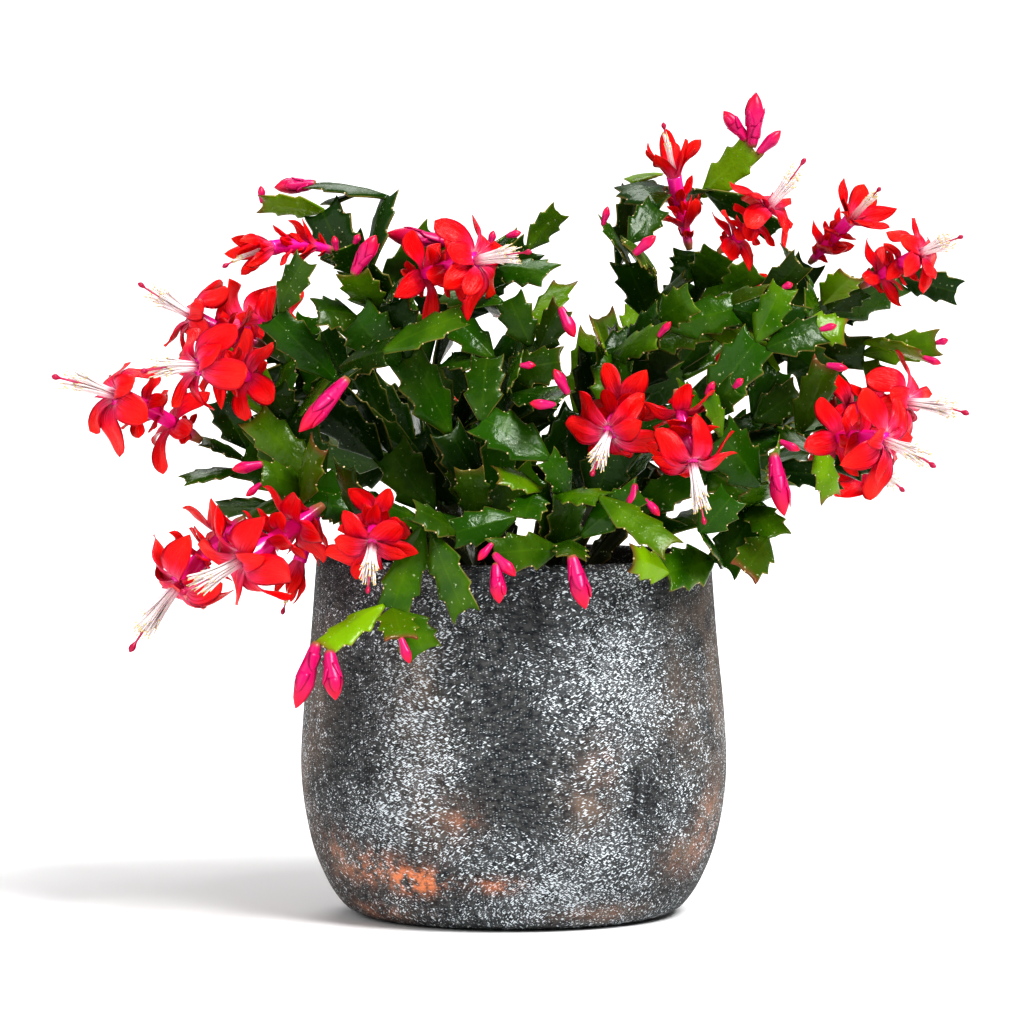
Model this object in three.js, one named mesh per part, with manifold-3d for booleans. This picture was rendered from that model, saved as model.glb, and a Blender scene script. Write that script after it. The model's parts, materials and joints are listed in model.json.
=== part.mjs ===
// A flowering Christmas cactus in a round-bellied stoneware pot.
//
// Millimetres, +Z up. The origin is the middle of the pot's flat foot, and -Y is the side
// that is seen first. The plant grows by rule from a table of shoots: each shoot is a chain
// of flat, toothed stem joints that ends in a bloom, in buds or bare. Joints are laid one
// after another, and each turns out of the way of everything that already stands there.

import * as THREE from "three";
import { mergeVertices } from "three/addons/utils/BufferGeometryUtils.js";
import Module from "manifold-3d";

const wasm = await Module();
wasm.setup();

// Driving dimensions

const SEED = 20262; // every random choice follows from it
const GAP = 0.3; // air left between two pieces that touch

const POT_WALL = 6;
const POT_SIDES = 30;
// Radius and height of the pot's outside, from the edge of its foot up to its lip.
const POT_OUTSIDE = [
  [68, 0],
  [76, 4],
  [84, 15],
  [91.4, 34],
  [95.8, 62],
  [94.8, 92],
  [91.8, 122],
  [89, 158],
];
const POT_HEIGHT = 162;
const POT_FLOOR = 9;
const SOIL_TOP = 147;
const SOIL_MOUND = 4; // how much higher the soil stands in the middle
const SOIL_SIDES = 24;

const ROOT_RADIUS = 3;
const ROOT_DEPTH = 14;

const JOINT_PITCH = 31; // usual length of a stem joint along its shoot
const JOINT_SHORTEST = 19;
const JOINT_LONGEST = 38;
const JOINT_WIDTH = 22;
const YOUNG_SHARE = 0.76; // size of the last joint of a shoot against the others
const JOINT_THICK = 3.2;
const JOINT_ARCH = 0.9; // how far a joint bows up between its two ends
const HORN_REACH = 3; // how far the horns of a joint stand out past its blunt end

const BLOOM_LENGTH = 76; // from the foot of a bloom to the end of its style
const PETAL_THICK = 1.2;

const DEAREST_SHOOT = 150; // a side shoot that would cost more than this is left out
const MOST_ASIDE = 22; // how far off the way to its tip a side shoot may start
const ROOT_RISE = 2.3; // how steeply a rooted stem leaves the soil
const FILL_TRIES = 118; // bare shoots that thicken the plant, most of them at the back

// The eye that the tables are written for. Across, height and depth are what a viewer at
// this distance and height sees on the upright plane through the middle of the pot.
const EYE_DISTANCE = 2400;
const EYE_HEIGHT = 300;

// Blooms: foot and end of the style as across, height and depth, then how open the mouth
// is, from 0 shut to 1 rolled right back, and how far the flower arches up half way along.
const BLOOMS = {
  a: { foot: [-141, 213, -10], end: [-208, 242, -40], open: 1, rise: 4 },
  b: { foot: [-112, 256, 15], end: [-169, 284, 5], open: 1, rise: -3 },
  c: { foot: [-109, 238, -28], end: [-168, 244, -72], open: 1, rise: 5 },
  e: { foot: [-80, 298, -10], end: [-131, 291, -40], open: 0.15, rise: 6 },
  f: { foot: [-51, 284, -49], end: [8, 298, -88], open: 0.95, rise: 2 },
  g: { foot: [79, 299, 8], end: [67, 356, -8], open: 0.2, rise: 0 },
  h: { foot: [92, 298, -26], end: [131, 340, -46], open: 0.95, rise: -4 },
  i: { foot: [133, 293, 25], end: [164, 326, -5], open: 0.35, rise: 0 },
  j: { foot: [156, 282, 8], end: [202, 305, -18], open: 0.85, rise: 2 },
  k: { foot: [139, 223, -6], end: [205, 225, -36], open: 1, rise: 6 },
  l: { foot: [137, 212, -50], end: [190, 201, -96], open: 0.9, rise: 7 },
  m: { foot: [53, 235, -41], end: [35, 197, -94], open: 1.05, rise: 3 },
  n: { foot: [73, 236, -83], end: [86, 175, -106], open: 1.15, rise: 2 },
  o: { foot: [-121, 178, -28], end: [-174, 117, -50], open: 1, rise: 5 },
  p: { foot: [-86, 184, -66], end: [-157, 140, -106], open: 0.9, rise: -2 },
  q: { foot: [-86, 187, -35], end: [-103, 139, -40], open: 0.1, rise: 2 },
  r: { foot: [-61, 184, -77], end: [-66, 144, -124], open: 0.75, rise: 5 },
  s: { foot: [-96, 262, 96], end: [-140, 262, 140], open: 1, rise: 5 },
  t: { foot: [88, 258, 108], end: [118, 268, 168], open: 0.9, rise: 5 },
  u: { foot: [-8, 222, 128], end: [-14, 202, 196], open: 1, rise: 7 },
  v: { foot: [134, 208, 82], end: [176, 190, 122], open: 0.95, rise: 6 },
};

// Shoots: tip is across, height and depth of the shoot's end. root is the angle and radius
// at which a rooted stem leaves the soil; a shoot without it grows from whichever joint
// suits it best. bloom names its flower. Each bud is an angle in the picture plane, a
// length, and how far it leans towards the viewer.
const SHOOTS = [
  { root: [200, 30], bloom: "a" },
  { root: [160, 24], bloom: "b" },
  { root: [130, 14], bloom: "e" },
  { root: [222, 36], bloom: "o" },
  { root: [245, 38], bloom: "r" },
  { root: [262, 20], bloom: "f" },
  { root: [52, 12], bloom: "g" },
  { root: [10, 22], bloom: "j" },
  { root: [345, 32], bloom: "k" },
  { root: [318, 30], bloom: "m" },
  { root: [292, 40], tip: [26, 161, -112], buds: [[-75, 24, 0.2]] },
  { root: [265, 44], tip: [-66, 146, -112], hang: true },
  { root: [120, 36], bloom: "s" },
  { root: [68, 36], bloom: "t" },
  { root: [94, 40], bloom: "u" },
  { root: [36, 40], bloom: "v" },
  { bloom: "c" },
  { bloom: "h" },
  { bloom: "i" },
  { bloom: "l" },
  { bloom: "n" },
  { bloom: "p" },
  { bloom: "q" },
  { tip: [-51, 124, -118], buds: [[-70, 12, 0.2]], hang: true },
  { tip: [-86, 120, -114], buds: [[-108, 30, 0.1], [-82, 22, 0.3]], hang: true },
  { tip: [-148, 195, -15] },
  { tip: [-134, 183, 0] },
  { tip: [-118, 160, 5] },
  { tip: [-113, 195, -62], buds: [[190, 14, 0.1], [220, 9, 0.2]] },
  { tip: [-113, 320, 12], buds: [[95, 8, 0]] },
  { tip: [-92, 329, 22], buds: [[185, 19, 0]] },
  { tip: [-75, 322, 30], buds: [[80, 6, 0]] },
  { tip: [-112, 272, -55] },
  { tip: [-94, 294, -62] },
  { tip: [-72, 288, -70], buds: [[60, 20, 0.1]] },
  { tip: [-40, 310, 0], buds: [[172, 30, 0.05]] },
  { tip: [-73, 303, -20], buds: [[100, 7, 0.1], [60, 5, 0]] },
  { tip: [-75, 241, -88], buds: [[-132, 32, 0.25]] },
  { tip: [-21, 133, -116] },
  { tip: [-40, 130, -112] },
  { tip: [-9, 162, -116], buds: [[-130, 10, 0.3], [-85, 18, 0.4], [-45, 14, 0.3]] },
  { tip: [20, 316, 10] },
  { tip: [3, 303, 22] },
  { tip: [-7, 303, -30], buds: [[75, 7, 0], [15, 7, 0.1]] },
  { tip: [21, 273, -62], buds: [[-65, 15, 0.2]] },
  { tip: [3, 247, -80], buds: [[0, 7, 0.2]] },
  { tip: [19, 236, -95], buds: [[120, 13, 0.2], [175, 12, 0.3]] },
  { tip: [40, 310, -18], buds: [[75, 9, 0.1]] },
  { tip: [54, 297, -60], buds: [[40, 13, 0.2]] },
  { tip: [45, 333, 12] },
  { tip: [64, 318, -28] },
  { tip: [62, 329, 25] },
  { tip: [107, 345, 16], buds: [[86, 25, 0], [128, 17, 0.1], [46, 15, 0]] },
  { tip: [126, 320, 22] },
  { tip: [121, 282, -48], buds: [[20, 5, 0.2]] },
  { tip: [155, 288, -15] },
  { tip: [199, 280, 28] },
  { tip: [190, 257, 15], buds: [[15, 6, 0]] },
  { tip: [182, 246, -5], buds: [[-20, 9, 0]] },
  { tip: [137, 266, -50], buds: [[15, 8, 0.1]] },
  { tip: [141, 248, -52], buds: [[-10, 10, 0.1]] },
  { tip: [99, 237, -75], buds: [[45, 6, 0.2]] },
  { tip: [65, 260, -53], buds: [[50, 9, 0.2]] },
  { tip: [80, 277, -50] },
  { tip: [95, 270, -55] },
  { tip: [143, 188, -25] },
  { tip: [118, 170, -50] },
  { tip: [125, 209, -72], buds: [[-80, 28, 0.15], [-25, 10, 0.2]] },
  { tip: [57, 190, -92], buds: [[-100, 14, 0.3], [-50, 10, 0.3]] },
  { tip: [12, 191, -76] },
  { tip: [75, 226, -85], buds: [[60, 7, 0.1]] },
  { tip: [167, 237, 10] },
  { tip: [84, 172, -74] },
  { tip: [104, 154, -80], hang: true },
  { tip: [-2, 277, -50] },
  { tip: [15, 288, -36] },
  { tip: [36, 264, -42] },
  { tip: [46, 242, -34] },
  { tip: [-84, 280, -66] },
  { tip: [-56, 254, -80] },
  { tip: [-72, 204, -88] },
  { tip: [-124, 222, -46] },
  { tip: [-98, 214, -64] },
  { tip: [148, 262, -26] },
  { tip: [98, 188, -78] },
  { tip: [-22, 264, -78] },
  { tip: [-30, 292, -40] },
  { tip: [-132, 232, 10] },
  { tip: [-20, 200, -84] },
  { tip: [12, 204, -80] },
  { tip: [60, 262, -20] },
  { tip: [8, 262, -36] },
  { tip: [22, 248, -56] },
  { tip: [-12, 250, -66] },
  { tip: [24, 286, -8] },
  { tip: [5, 178, -95] },
  { tip: [-28, 172, -98] },
  { tip: [40, 178, -96] },
  { tip: [-48, 168, -100] },
  { tip: [72, 166, -86] },
  { tip: [20, 190, -70] },
  { tip: [-10, 186, -78] },
  { tip: [54, 160, -95] },
];

// The plant fills two lobes with a notch between them: middle, then half-sizes.
const LOBES = [
  { middle: [-62, 0, 232], half: [88, 118, 82] },
  { middle: [84, 6, 236], half: [92, 116, 92] },
];

const FILL_SECTOR = [-15, 195]; // the way round of the bare shoots, most of them at the back
const NOTCH = [30, 255]; // across and height of the bottom of the notch
const NOTCH_LEAP = 42; // a side shoot longer than this keeps to its own lobe

// Seeded draws and small vector helpers

function drawsFrom(seed) {
  let state = seed;
  return (low, high) => {
    state = (state * 16807) % 2147483647;
    return low + ((high - low) * state) / 2147483647;
  };
}

const vec = (x, y, z) => new THREE.Vector3(x, y, z);
const CROWN = vec(0, 0, 130); // the stems spread from here
const mix = (a, b, t) => a + (b - a) * t;
const clamp = (v, low, high) => Math.min(high, Math.max(low, v));
const radians = (degrees) => (degrees * Math.PI) / 180;
const plus = (a, b, s) => a.clone().addScaledVector(b, s);

function seen(across, height, depth) {
  const spread = (EYE_DISTANCE + depth) / EYE_DISTANCE;
  return vec(across * spread, depth, EYE_HEIGHT + (height - EYE_HEIGHT) * spread);
}

// Three square axes: along is kept, and normal is as near to facing as it can be.
function axesFor(along, facing, roll = 0) {
  const normal = plus(facing, along, -facing.dot(along)).normalize();
  normal.applyAxisAngle(along, roll);
  return { along, normal, side: along.clone().cross(normal) };
}

// Boxes that stand for pieces while the plant grows

function box(middle, axes, half) {
  return { middle, axes, half, reach: Math.hypot(...half) };
}

function boxAlong(from, to, axes, halfSide, halfNormal) {
  const length = from.distanceTo(to);
  const turned = [axes.side, axes.along, axes.normal];
  return box(plus(from, plus(to, from, -1), 0.5), turned, [halfSide, length / 2, halfNormal]);
}

// Whether two boxes meet, by the separating axis test.
function boxesMeet(a, b) {
  const apart = plus(b.middle, a.middle, -1);
  if (apart.length() > a.reach + b.reach) return false;
  const turn = a.axes.map((p) => b.axes.map((q) => p.dot(q)));
  const size = turn.map((row) => row.map((v) => Math.abs(v) + 1e-9));
  const t = a.axes.map((p) => apart.dot(p));
  for (let i = 0; i < 3; i++) {
    const rb = b.half[0] * size[i][0] + b.half[1] * size[i][1] + b.half[2] * size[i][2];
    if (Math.abs(t[i]) > a.half[i] + rb) return false;
  }
  for (let j = 0; j < 3; j++) {
    const ra = a.half[0] * size[0][j] + a.half[1] * size[1][j] + a.half[2] * size[2][j];
    const d = t[0] * turn[0][j] + t[1] * turn[1][j] + t[2] * turn[2][j];
    if (Math.abs(d) > ra + b.half[j]) return false;
  }
  for (let i = 0; i < 3; i++) {
    const [i1, i2] = [(i + 1) % 3, (i + 2) % 3];
    for (let j = 0; j < 3; j++) {
      const [j1, j2] = [(j + 1) % 3, (j + 2) % 3];
      const ra = a.half[i1] * size[i2][j] + a.half[i2] * size[i1][j];
      const rb = b.half[j1] * size[i][j2] + b.half[j2] * size[i][j1];
      if (Math.abs(t[i2] * turn[i1][j] - t[i1] * turn[i2][j]) > ra + rb) return false;
    }
  }
  return true;
}

function potRadiusAt(z) {
  for (let i = 1; i < POT_OUTSIDE.length; i++) {
    const [[r0, z0], [r1, z1]] = [POT_OUTSIDE[i - 1], POT_OUTSIDE[i]];
    if (z <= z1) return mix(r0, r1, (z - z0) / (z1 - z0));
  }
  return POT_OUTSIDE[POT_OUTSIDE.length - 1][0];
}

// Whether a corner of the box is in the pot's wall, in the soil, or nearly so.
function meetsPot(b) {
  for (const s of [-1, 0, 1])
    for (const t of [-1, 0, 1]) {
      const p = plus(plus(b.middle, b.axes[0], s * b.half[0]), b.axes[1], t * b.half[1]);
      const thick = b.half[2];
      const r = Math.hypot(p.x, p.y);
      if (p.z < POT_HEIGHT + 1 + thick && r > potRadiusAt(p.z) - POT_WALL - thick - 1) {
        if (r < potRadiusAt(p.z) + thick + 1) return true;
      }
      if (r < potRadiusAt(p.z) - POT_WALL && p.z < SOIL_TOP + SOIL_MOUND + thick) return true;
    }
  return false;
}

// Blooms: a flower's tube follows an arched line, and its petals stand in tiers.

// Radius of a bloom's tube at each ring along it, from its foot to its mouth. Petals stand
// on the bands that follow the rings named in PETAL_TIERS.
const TUBE = [
  [0, 1.7],
  [11, 2.8],
  [14.5, 3],
  [25, 3.5],
  [28, 3.7],
  [40.5, 4.2],
  [44, 4.4],
];
const TUBE_SIDES = 5;

function bloomLine(name) {
  const { foot, end, open, rise } = BLOOMS[name];
  const from = seen(...foot);
  const to = seen(...end);
  const aim = plus(to, from, -1);
  const scale = clamp(aim.length() / BLOOM_LENGTH, 0.72, 1.05);
  aim.normalize();
  const at = (s) => {
    const t = s / BLOOM_LENGTH;
    return plus(plus(from, aim, s * scale), vec(0, 0, 1), rise * 4 * t * (1 - t));
  };
  const heading = (s) => plus(at(s + 1), at(s - 1), -1).normalize();
  return { name, open, scale, at, heading };
}

// Petals of a bloom: the ring and patch of the tube each stands on, where it leaves and the
// way round, its length and width, and the angles from the tube at which it starts and ends.
const PETAL_TIERS = [
  { ring: 1, s: 12.7, patches: [0, 1, 2, 3], length: 22, width: 11, start: [30, 62], end: [24, 122] },
  { ring: 3, s: 26.5, patches: [1], length: 20, width: 9, start: [24, 50], end: [30, 115] },
  { ring: 5, s: 42.2, patches: [0, 1, 2, 3, 4], length: 27, width: 13.5, start: [15, 66], end: [8, 150] },
];

function petalsOf(bloom) {
  const draw = drawsFrom(700 + bloom.name.charCodeAt(0) * 37);
  const slim = bloom.scale * mix(0.55, 1, Math.min(1, bloom.open * 1.5));
  const petals = [];
  for (const tier of PETAL_TIERS)
    for (const patch of tier.patches)
      petals.push({
        ring: tier.ring,
        patch,
        s: tier.s,
        round: (360 * (patch + 0.5)) / 5 + draw(-9, 9),
        length: tier.length * bloom.scale * draw(0.88, 1.1),
        width: tier.width * slim * draw(0.9, 1.1),
        leave: mix(...tier.start, bloom.open) + draw(-5, 5),
        end: mix(...tier.end, bloom.open) + draw(-12, 12),
        radius: (tier.ring > 4 ? 4.2 : 2.9) * bloom.scale,
      });
  return petals;
}

// Normal and side of a bloom's tube, from which the way round it is counted.
function roundTube(axis) {
  return axesFor(axis, Math.abs(axis.z) > 0.9 ? vec(0, -1, 0) : vec(0, 0, 1));
}

// Centre line of a petal in PETAL_ROWS + 1 stations: place, heading, across and face.
const PETAL_ROWS = 9;
const PETAL_WIDEST = 5; // the station at which a petal is widest

function petalLine(bloom, petal) {
  const rows = PETAL_ROWS;
  const axis = bloom.heading(petal.s);
  const { normal, side } = roundTube(axis);
  const round = radians(petal.round);
  const out = normal.clone().multiplyScalar(Math.cos(round)).addScaledVector(side, Math.sin(round));
  const across = axis.clone().cross(out);
  const stations = [];
  const place = plus(bloom.at(petal.s), out, petal.radius - 1.2);
  for (let i = 0; i <= rows; i++) {
    const angle = radians(mix(petal.leave, petal.end, i / rows));
    const heading = axis.clone().multiplyScalar(Math.cos(angle)).addScaledVector(out, Math.sin(angle));
    stations.push({ place: place.clone(), heading, across, face: heading.clone().cross(across) });
    const half = radians(mix(petal.leave, petal.end, (i + 0.5) / rows));
    place.addScaledVector(axis, (Math.cos(half) * petal.length) / rows);
    place.addScaledVector(out, (Math.sin(half) * petal.length) / rows);
  }
  return stations;
}

function bloomBoxes(bloom) {
  const tubeAxes = axesFor(bloom.heading(25), vec(0.31, -0.83, 0.46));
  const thin = 3.6 * bloom.scale;
  const boxes = [
    boxAlong(bloom.at(0.5), bloom.at(24), tubeAxes, thin, thin),
    boxAlong(bloom.at(24), bloom.at(46), tubeAxes, thin + 0.6, thin + 0.6),
    boxAlong(bloom.at(46), bloom.at(BLOOM_LENGTH), tubeAxes, thin, thin),
  ];
  for (const petal of petalsOf(bloom)) {
    const line = petalLine(bloom, petal);
    const stations = [line[0], line[PETAL_WIDEST], line[PETAL_ROWS]];
    for (let i = 0; i < 2; i++) {
      const [a, b] = [stations[i], stations[i + 1]];
      const along = plus(b.place, a.place, -1).normalize();
      const axes = { along, side: a.across, normal: along.clone().cross(a.across) };
      boxes.push(boxAlong(a.place, b.place, axes, petal.width * (i ? 0.4 : 0.46), 1.2));
    }
  }
  return boxes;
}

// Stem joints

function jointBoxes(joint) {
  const { base, axes, length, width, thick } = joint;
  const at = (t) => plus(base, axes.along, length * t);
  const flat = thick / 2 + JOINT_ARCH * 0.7;
  const stalk = boxAlong(at(0.02), at(0.34), axes, width * 0.3, flat);
  return [{ ...stalk, stalk: true }, boxAlong(at(0.34), at(1.02), axes, width * 0.47, flat)];
}

function budOf(joint, [angle, length, lean], slot) {
  const turn = radians(angle);
  const aim = vec(Math.cos(turn), -lean, Math.sin(turn)).normalize();
  const foot = plus(slotPlace(joint, slot), aim, 0.5);
  return { foot, aim, length, slot, radius: clamp(length * 0.2, 1.8, 4.4) };
}

// Buds take the places at a joint's end in the order in which they lean across it.
function budsOf(joint, table) {
  const aims = table.map(([angle]) => {
    const turn = radians(angle);
    return vec(Math.cos(turn), 0, Math.sin(turn)).dot(joint.axes.side);
  });
  const order = table.map((_, i) => i).sort((i, k) => aims[i] - aims[k]);
  const slots = { 1: [0], 2: [-1, 1], 3: [-1, 0, 1] }[table.length] || [];
  return order.map((i, k) => budOf(joint, table[i], slots[k]));
}

function budBox(bud) {
  const axes = axesFor(bud.aim, vec(0.31, -0.83, 0.46));
  const end = plus(bud.foot, bud.aim, bud.length + 2);
  return boxAlong(plus(bud.foot, bud.aim, 1), end, axes, bud.radius, bud.radius);
}

// The blunt end of a joint has three places for what grows there next: middle, left, right.
const SLOT_ASIDE = { 0: 0, 1: 0.53, "-1": -0.53 };

function slotFor(joint, direction) {
  const lean = direction.dot(joint.axes.side);
  const side = lean > 0 ? 1 : -1;
  const wanted = Math.abs(lean) > 0.5 ? [side, 0, -side] : [0, side, -side];
  return wanted.find((slot) => !joint.slots[slot]);
}

function slotPlace(joint, slot) {
  return plus(joint.end, joint.axes.side, (SLOT_ASIDE[slot] * joint.width) / 2);
}

// Ways a joint may turn aside, the smallest first: tilt, the way of the tilt, and roll.
const TURNS = [];
for (const tilt of [0, 9, 18, 28, 38, 48])
  for (const way of tilt ? [0, 60, 120, 180, 240, 300] : [0])
    for (const roll of [0, 25, -25, 50, -50, 80, -80]) TURNS.push([tilt, way, roll]);
TURNS.sort((p, q) => p[0] + Math.abs(p[2]) * 0.45 - (q[0] + Math.abs(q[2]) * 0.45));

// Everything that already stands: boxes, each with its stem and the piece it is a box of.
const standing = [];
const joints = [];
const stems = SHOOTS.filter((shoot) => shoot.root).map((shoot, i) => ({
  name: `stem_${String(i + 1).padStart(2, "0")}`,
  shoot,
  root: rootOf(shoot.root),
}));
for (const stem of stems) {
  const low = plus(stem.root, vec(0, 0, 1), -ROOT_DEPTH);
  const axes = axesFor(vec(0, 0, 1), vec(1, 0, 0));
  standing.push({ box: boxAlong(low, stem.root, axes, ROOT_RADIUS, ROOT_RADIUS), stem });
}

const blooms = Object.keys(BLOOMS).map((name) => bloomLine(name));
for (const bloom of blooms)
  for (const b of bloomBoxes(bloom)) {
    const met = standing.find((other) => other.owner !== bloom.name && boxesMeet(b, other.box));
    if (met || meetsPot(b)) throw new Error(`bloom ${bloom.name} meets ${met ? met.owner : "the pot"}`);
    standing.push({ box: b, owner: bloom.name, stem: "bloom" });
  }

// 2 if the joint's boxes meet another stem, a bloom or the pot; 1 if they meet only their
// own stem; 0 if they are clear. A joint's stalk may touch its parent and the other stalks
// that share the parent's end.
function crowding(joint, buds, stem, parent, bloom) {
  let worst = 0;
  const own = [...jointBoxes(joint), ...buds.map(budBox)];
  for (const b of own) {
    if (joint.step > 0 && meetsPot(b)) return 2;
    for (const other of standing) {
      if (b.middle.distanceTo(other.box.middle) > b.reach + other.box.reach) continue;
      if (bloom && other.owner === bloom) continue;
      if (!parent && other.stem === stem) continue;
      if (b.stalk && parent && other.owner === parent) continue;
      if (b.stalk && other.box.stalk && parent && other.parent === parent) continue;
      if (!boxesMeet(b, other.box)) continue;
      if (other.stem !== stem) return 2;
      worst = 1;
    }
  }
  return worst;
}

function facingAt(place, draw) {
  const back = clamp((place.y + 30) / 60, 0, 1);
  const outward = clamp(place.x / 220, -0.5, 0.5);
  return vec(outward, mix(-1, 1, back), 0.55 + draw(-0.2, 0.2)).normalize();
}

// Where an unrooted shoot should grow from: near its tip, nearer the crown than the tip is,
// on the same side of the plant and with an easy turn.
function parentFor(tip) {
  const spread = plus(tip, CROWN, -1);
  const out = spread.length();
  let best = null;
  let least = DEAREST_SHOOT;
  for (const joint of joints) {
    if (joint.closed || joint.children.length > 2) continue;
    const grown = plus(joint.end, CROWN, -1);
    if (grown.length() > out + 5) continue;
    const aside = 1 - grown.dot(spread) / (grown.length() * out);
    if (aside * grown.length() > MOST_ASIDE) continue;
    const away = plus(tip, joint.end, -1);
    const distance = away.length();
    if (distance < JOINT_SHORTEST) continue;
    const leaps = (tip.x - NOTCH[0]) * (joint.end.x - NOTCH[0]) < 0;
    if (leaps && (distance > NOTCH_LEAP || joint.end.z > NOTCH[1] - 15)) continue;
    const turn = 1 - away.dot(joint.axes.along) / distance;
    const cost = distance + 40 * turn + 8 * joint.children.length + 170 * aside;
    if (cost < least) [least, best] = [cost, joint];
  }
  return best;
}

// How far short of a bloom's foot its joint ends, so that the two lie GAP apart. A bloom
// that turns back past the joint's end clears its horn.
function seatDepth(bloom, axes) {
  const heading = bloom.heading(1);
  const radius = TUBE[0][1] * bloom.scale;
  const lean = axes.along.dot(heading);
  const level = Math.abs(axes.side.dot(heading));
  const beside = GAP + radius * Math.sqrt(1 - lean * lean) + (lean < 0 ? HORN_REACH * level : 0);
  return Math.min(beside, (GAP + radius * level) / Math.max(lean, 0.01));
}

// The next joint of a shoot from base towards goal, turned aside as little as is needed to
// stand clear. Its room is 2 where no way is clear of other stems, blooms and the pot.
function nextJoint(from, goal, stem, options) {
  const { width, thick, step, bloom } = options;
  const away = plus(goal, from.base, -1);
  const span = bloom ? away.length() : clamp(away.length(), JOINT_SHORTEST, JOINT_LONGEST);
  const straight = away.normalize();
  let best = { room: 3 };
  for (const [tilt, way, roll] of TURNS) {
    if (bloom && tilt > 0) continue;
    const hinge = axesFor(straight, options.facing, radians(way)).normal;
    const along = straight.clone().applyAxisAngle(hinge, radians(tilt));
    const axes = axesFor(along, options.facing, radians(options.roll + roll));
    const length = span - (bloom ? seatDepth(bloom, axes) : 0);
    const end = plus(from.base, along, length);
    const joint = { base: from.base, end, axes, length, width, thick, stem, step };
    const buds = budsOf(joint, options.buds);
    const room = crowding(joint, buds, stem, from.parent, bloom && bloom.name);
    if (room < best.room) best = { room, joint: { ...joint, buds, parent: from.parent } };
    if (room === 0) break;
  }
  return best;
}

function rootOf([angle, radius]) {
  const turn = radians(angle);
  const rise = SOIL_TOP + SOIL_MOUND * (1 - radius / 80) + 2;
  return vec(Math.cos(turn) * radius, Math.sin(turn) * radius, rise);
}

// Grows one shoot, joint by joint, until its way is shut. Only a shoot that carries a bloom
// may cross its own stem, as it has to reach the foot of its flower.
function growShoot(shoot, draw) {
  const line = shoot.bloom ? blooms.find((b) => b.name === shoot.bloom) : null;
  const tip = line ? line.at(0) : shoot.point || seen(...shoot.tip);
  let from, heading, stem;
  if (shoot.root) {
    stem = stems.find(({ shoot: own }) => own === shoot);
    from = { base: stem.root.clone(), parent: null };
    heading = vec(stem.root.x, stem.root.y, 0).normalize().setZ(ROOT_RISE).normalize();
  } else {
    const parent = parentFor(tip);
    if (!parent) return;
    const slot = slotFor(parent, plus(tip, parent.end, -1).normalize());
    from = { base: slotPlace(parent, slot), parent, slot };
    [heading, stem] = [parent.axes.along, parent.stem];
  }
  const { base } = from;
  const span = base.distanceTo(tip);
  const count = Math.max(1, Math.round((span * 1.05) / JOINT_PITCH));
  const spread = plus(tip, CROWN, -1).normalize();
  const droop = shoot.hang ? 2.6 : 0.2;
  const arrive = line ? line.heading(1) : plus(spread, vec(0, 0, -1), droop).normalize();
  const leaveBy = plus(base, heading, span * (shoot.hang && shoot.root ? 0.72 : 0.36));
  const arriveBy = plus(tip, arrive, -span * (shoot.hang ? 0.4 : 0.22));
  const curve = new THREE.CubicBezierCurve3(base.clone(), leaveBy, arriveBy, tip);
  for (let step = 0; step < count; step++) {
    const last = step === count - 1;
    const foot = shoot.root && step === 0;
    const share = last && !foot ? YOUNG_SHARE : 1;
    const options = {
      facing: facingAt(from.base, draw),
      roll: draw(-28, 28),
      width: JOINT_WIDTH * draw(0.88, 1.12) * share * (foot ? 0.55 : 1),
      thick: JOINT_THICK * share * (foot ? 1.4 : 1),
      step: shoot.root ? step : 1,
      bloom: last ? line : null,
      buds: (last && shoot.buds) || [],
    };
    const goal = curve.getPoint(last ? 1 : (step + 1) / (count - 1 + YOUNG_SHARE));
    const { room, joint } = nextJoint(from, goal, stem, options);
    if (room > (line ? 1 : 0)) {
      if (line) throw new Error(`no way to bloom ${shoot.bloom}`);
      return;
    }
    const closed = last && Boolean(line || shoot.buds);
    Object.assign(joint, { children: [], slots: {}, closed });
    for (const bud of joint.buds) joint.slots[bud.slot] = bud;
    if (from.parent) {
      from.parent.children.push(joint);
      from.parent.slots[from.slot] = joint;
    } else stem.first = joint;
    joints.push(joint);
    const taken = [...jointBoxes(joint), ...joint.buds.map(budBox)];
    for (const b of taken) standing.push({ box: b, owner: joint, parent: from.parent, stem });
    from = { base: joint.end.clone(), parent: joint, slot: 0 };
  }
}

SHOOTS.forEach((shoot, i) => growShoot(shoot, drawsFrom(SEED + 7919 * i)));
const draw = drawsFrom(SEED);
for (let i = 0; i < FILL_TRIES; i++) {
  const { middle, half } = LOBES[i % LOBES.length];
  const turn = radians(draw(...FILL_SECTOR));
  const rise = draw(-0.75, 1);
  const level = Math.sqrt(1 - rise * rise);
  const depth = draw(0.35, 1);
  const point = vec(
    middle[0] + half[0] * level * Math.cos(turn) * depth,
    middle[1] + half[1] * level * Math.sin(turn) * depth,
    middle[2] + half[2] * rise * depth,
  );
  if (point.z > NOTCH[1] + 1.3 * Math.abs(point.x - NOTCH[0])) continue;
  growShoot({ point }, draw);
}

// Solids

function solidOf(geometry) {
  const bare = geometry.index ? geometry.toNonIndexed() : geometry.clone();
  for (const name of Object.keys(bare.attributes)) if (name !== "position") bare.deleteAttribute(name);
  const merged = mergeVertices(bare, 1e-4);
  const vertProperties = merged.attributes.position.array;
  const triVerts = new Uint32Array(merged.index.array);
  return new wasm.Manifold(new wasm.Mesh({ numProp: 3, vertProperties, triVerts }));
}

function geometryOf(solid) {
  const mesh = solid.getMesh();
  const geometry = new THREE.BufferGeometry();
  geometry.setAttribute("position", new THREE.BufferAttribute(mesh.vertProperties, 3));
  geometry.setIndex(new THREE.BufferAttribute(mesh.triVerts, 1));
  const flat = geometry.toNonIndexed();
  flat.computeVertexNormals();
  return flat;
}

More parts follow.
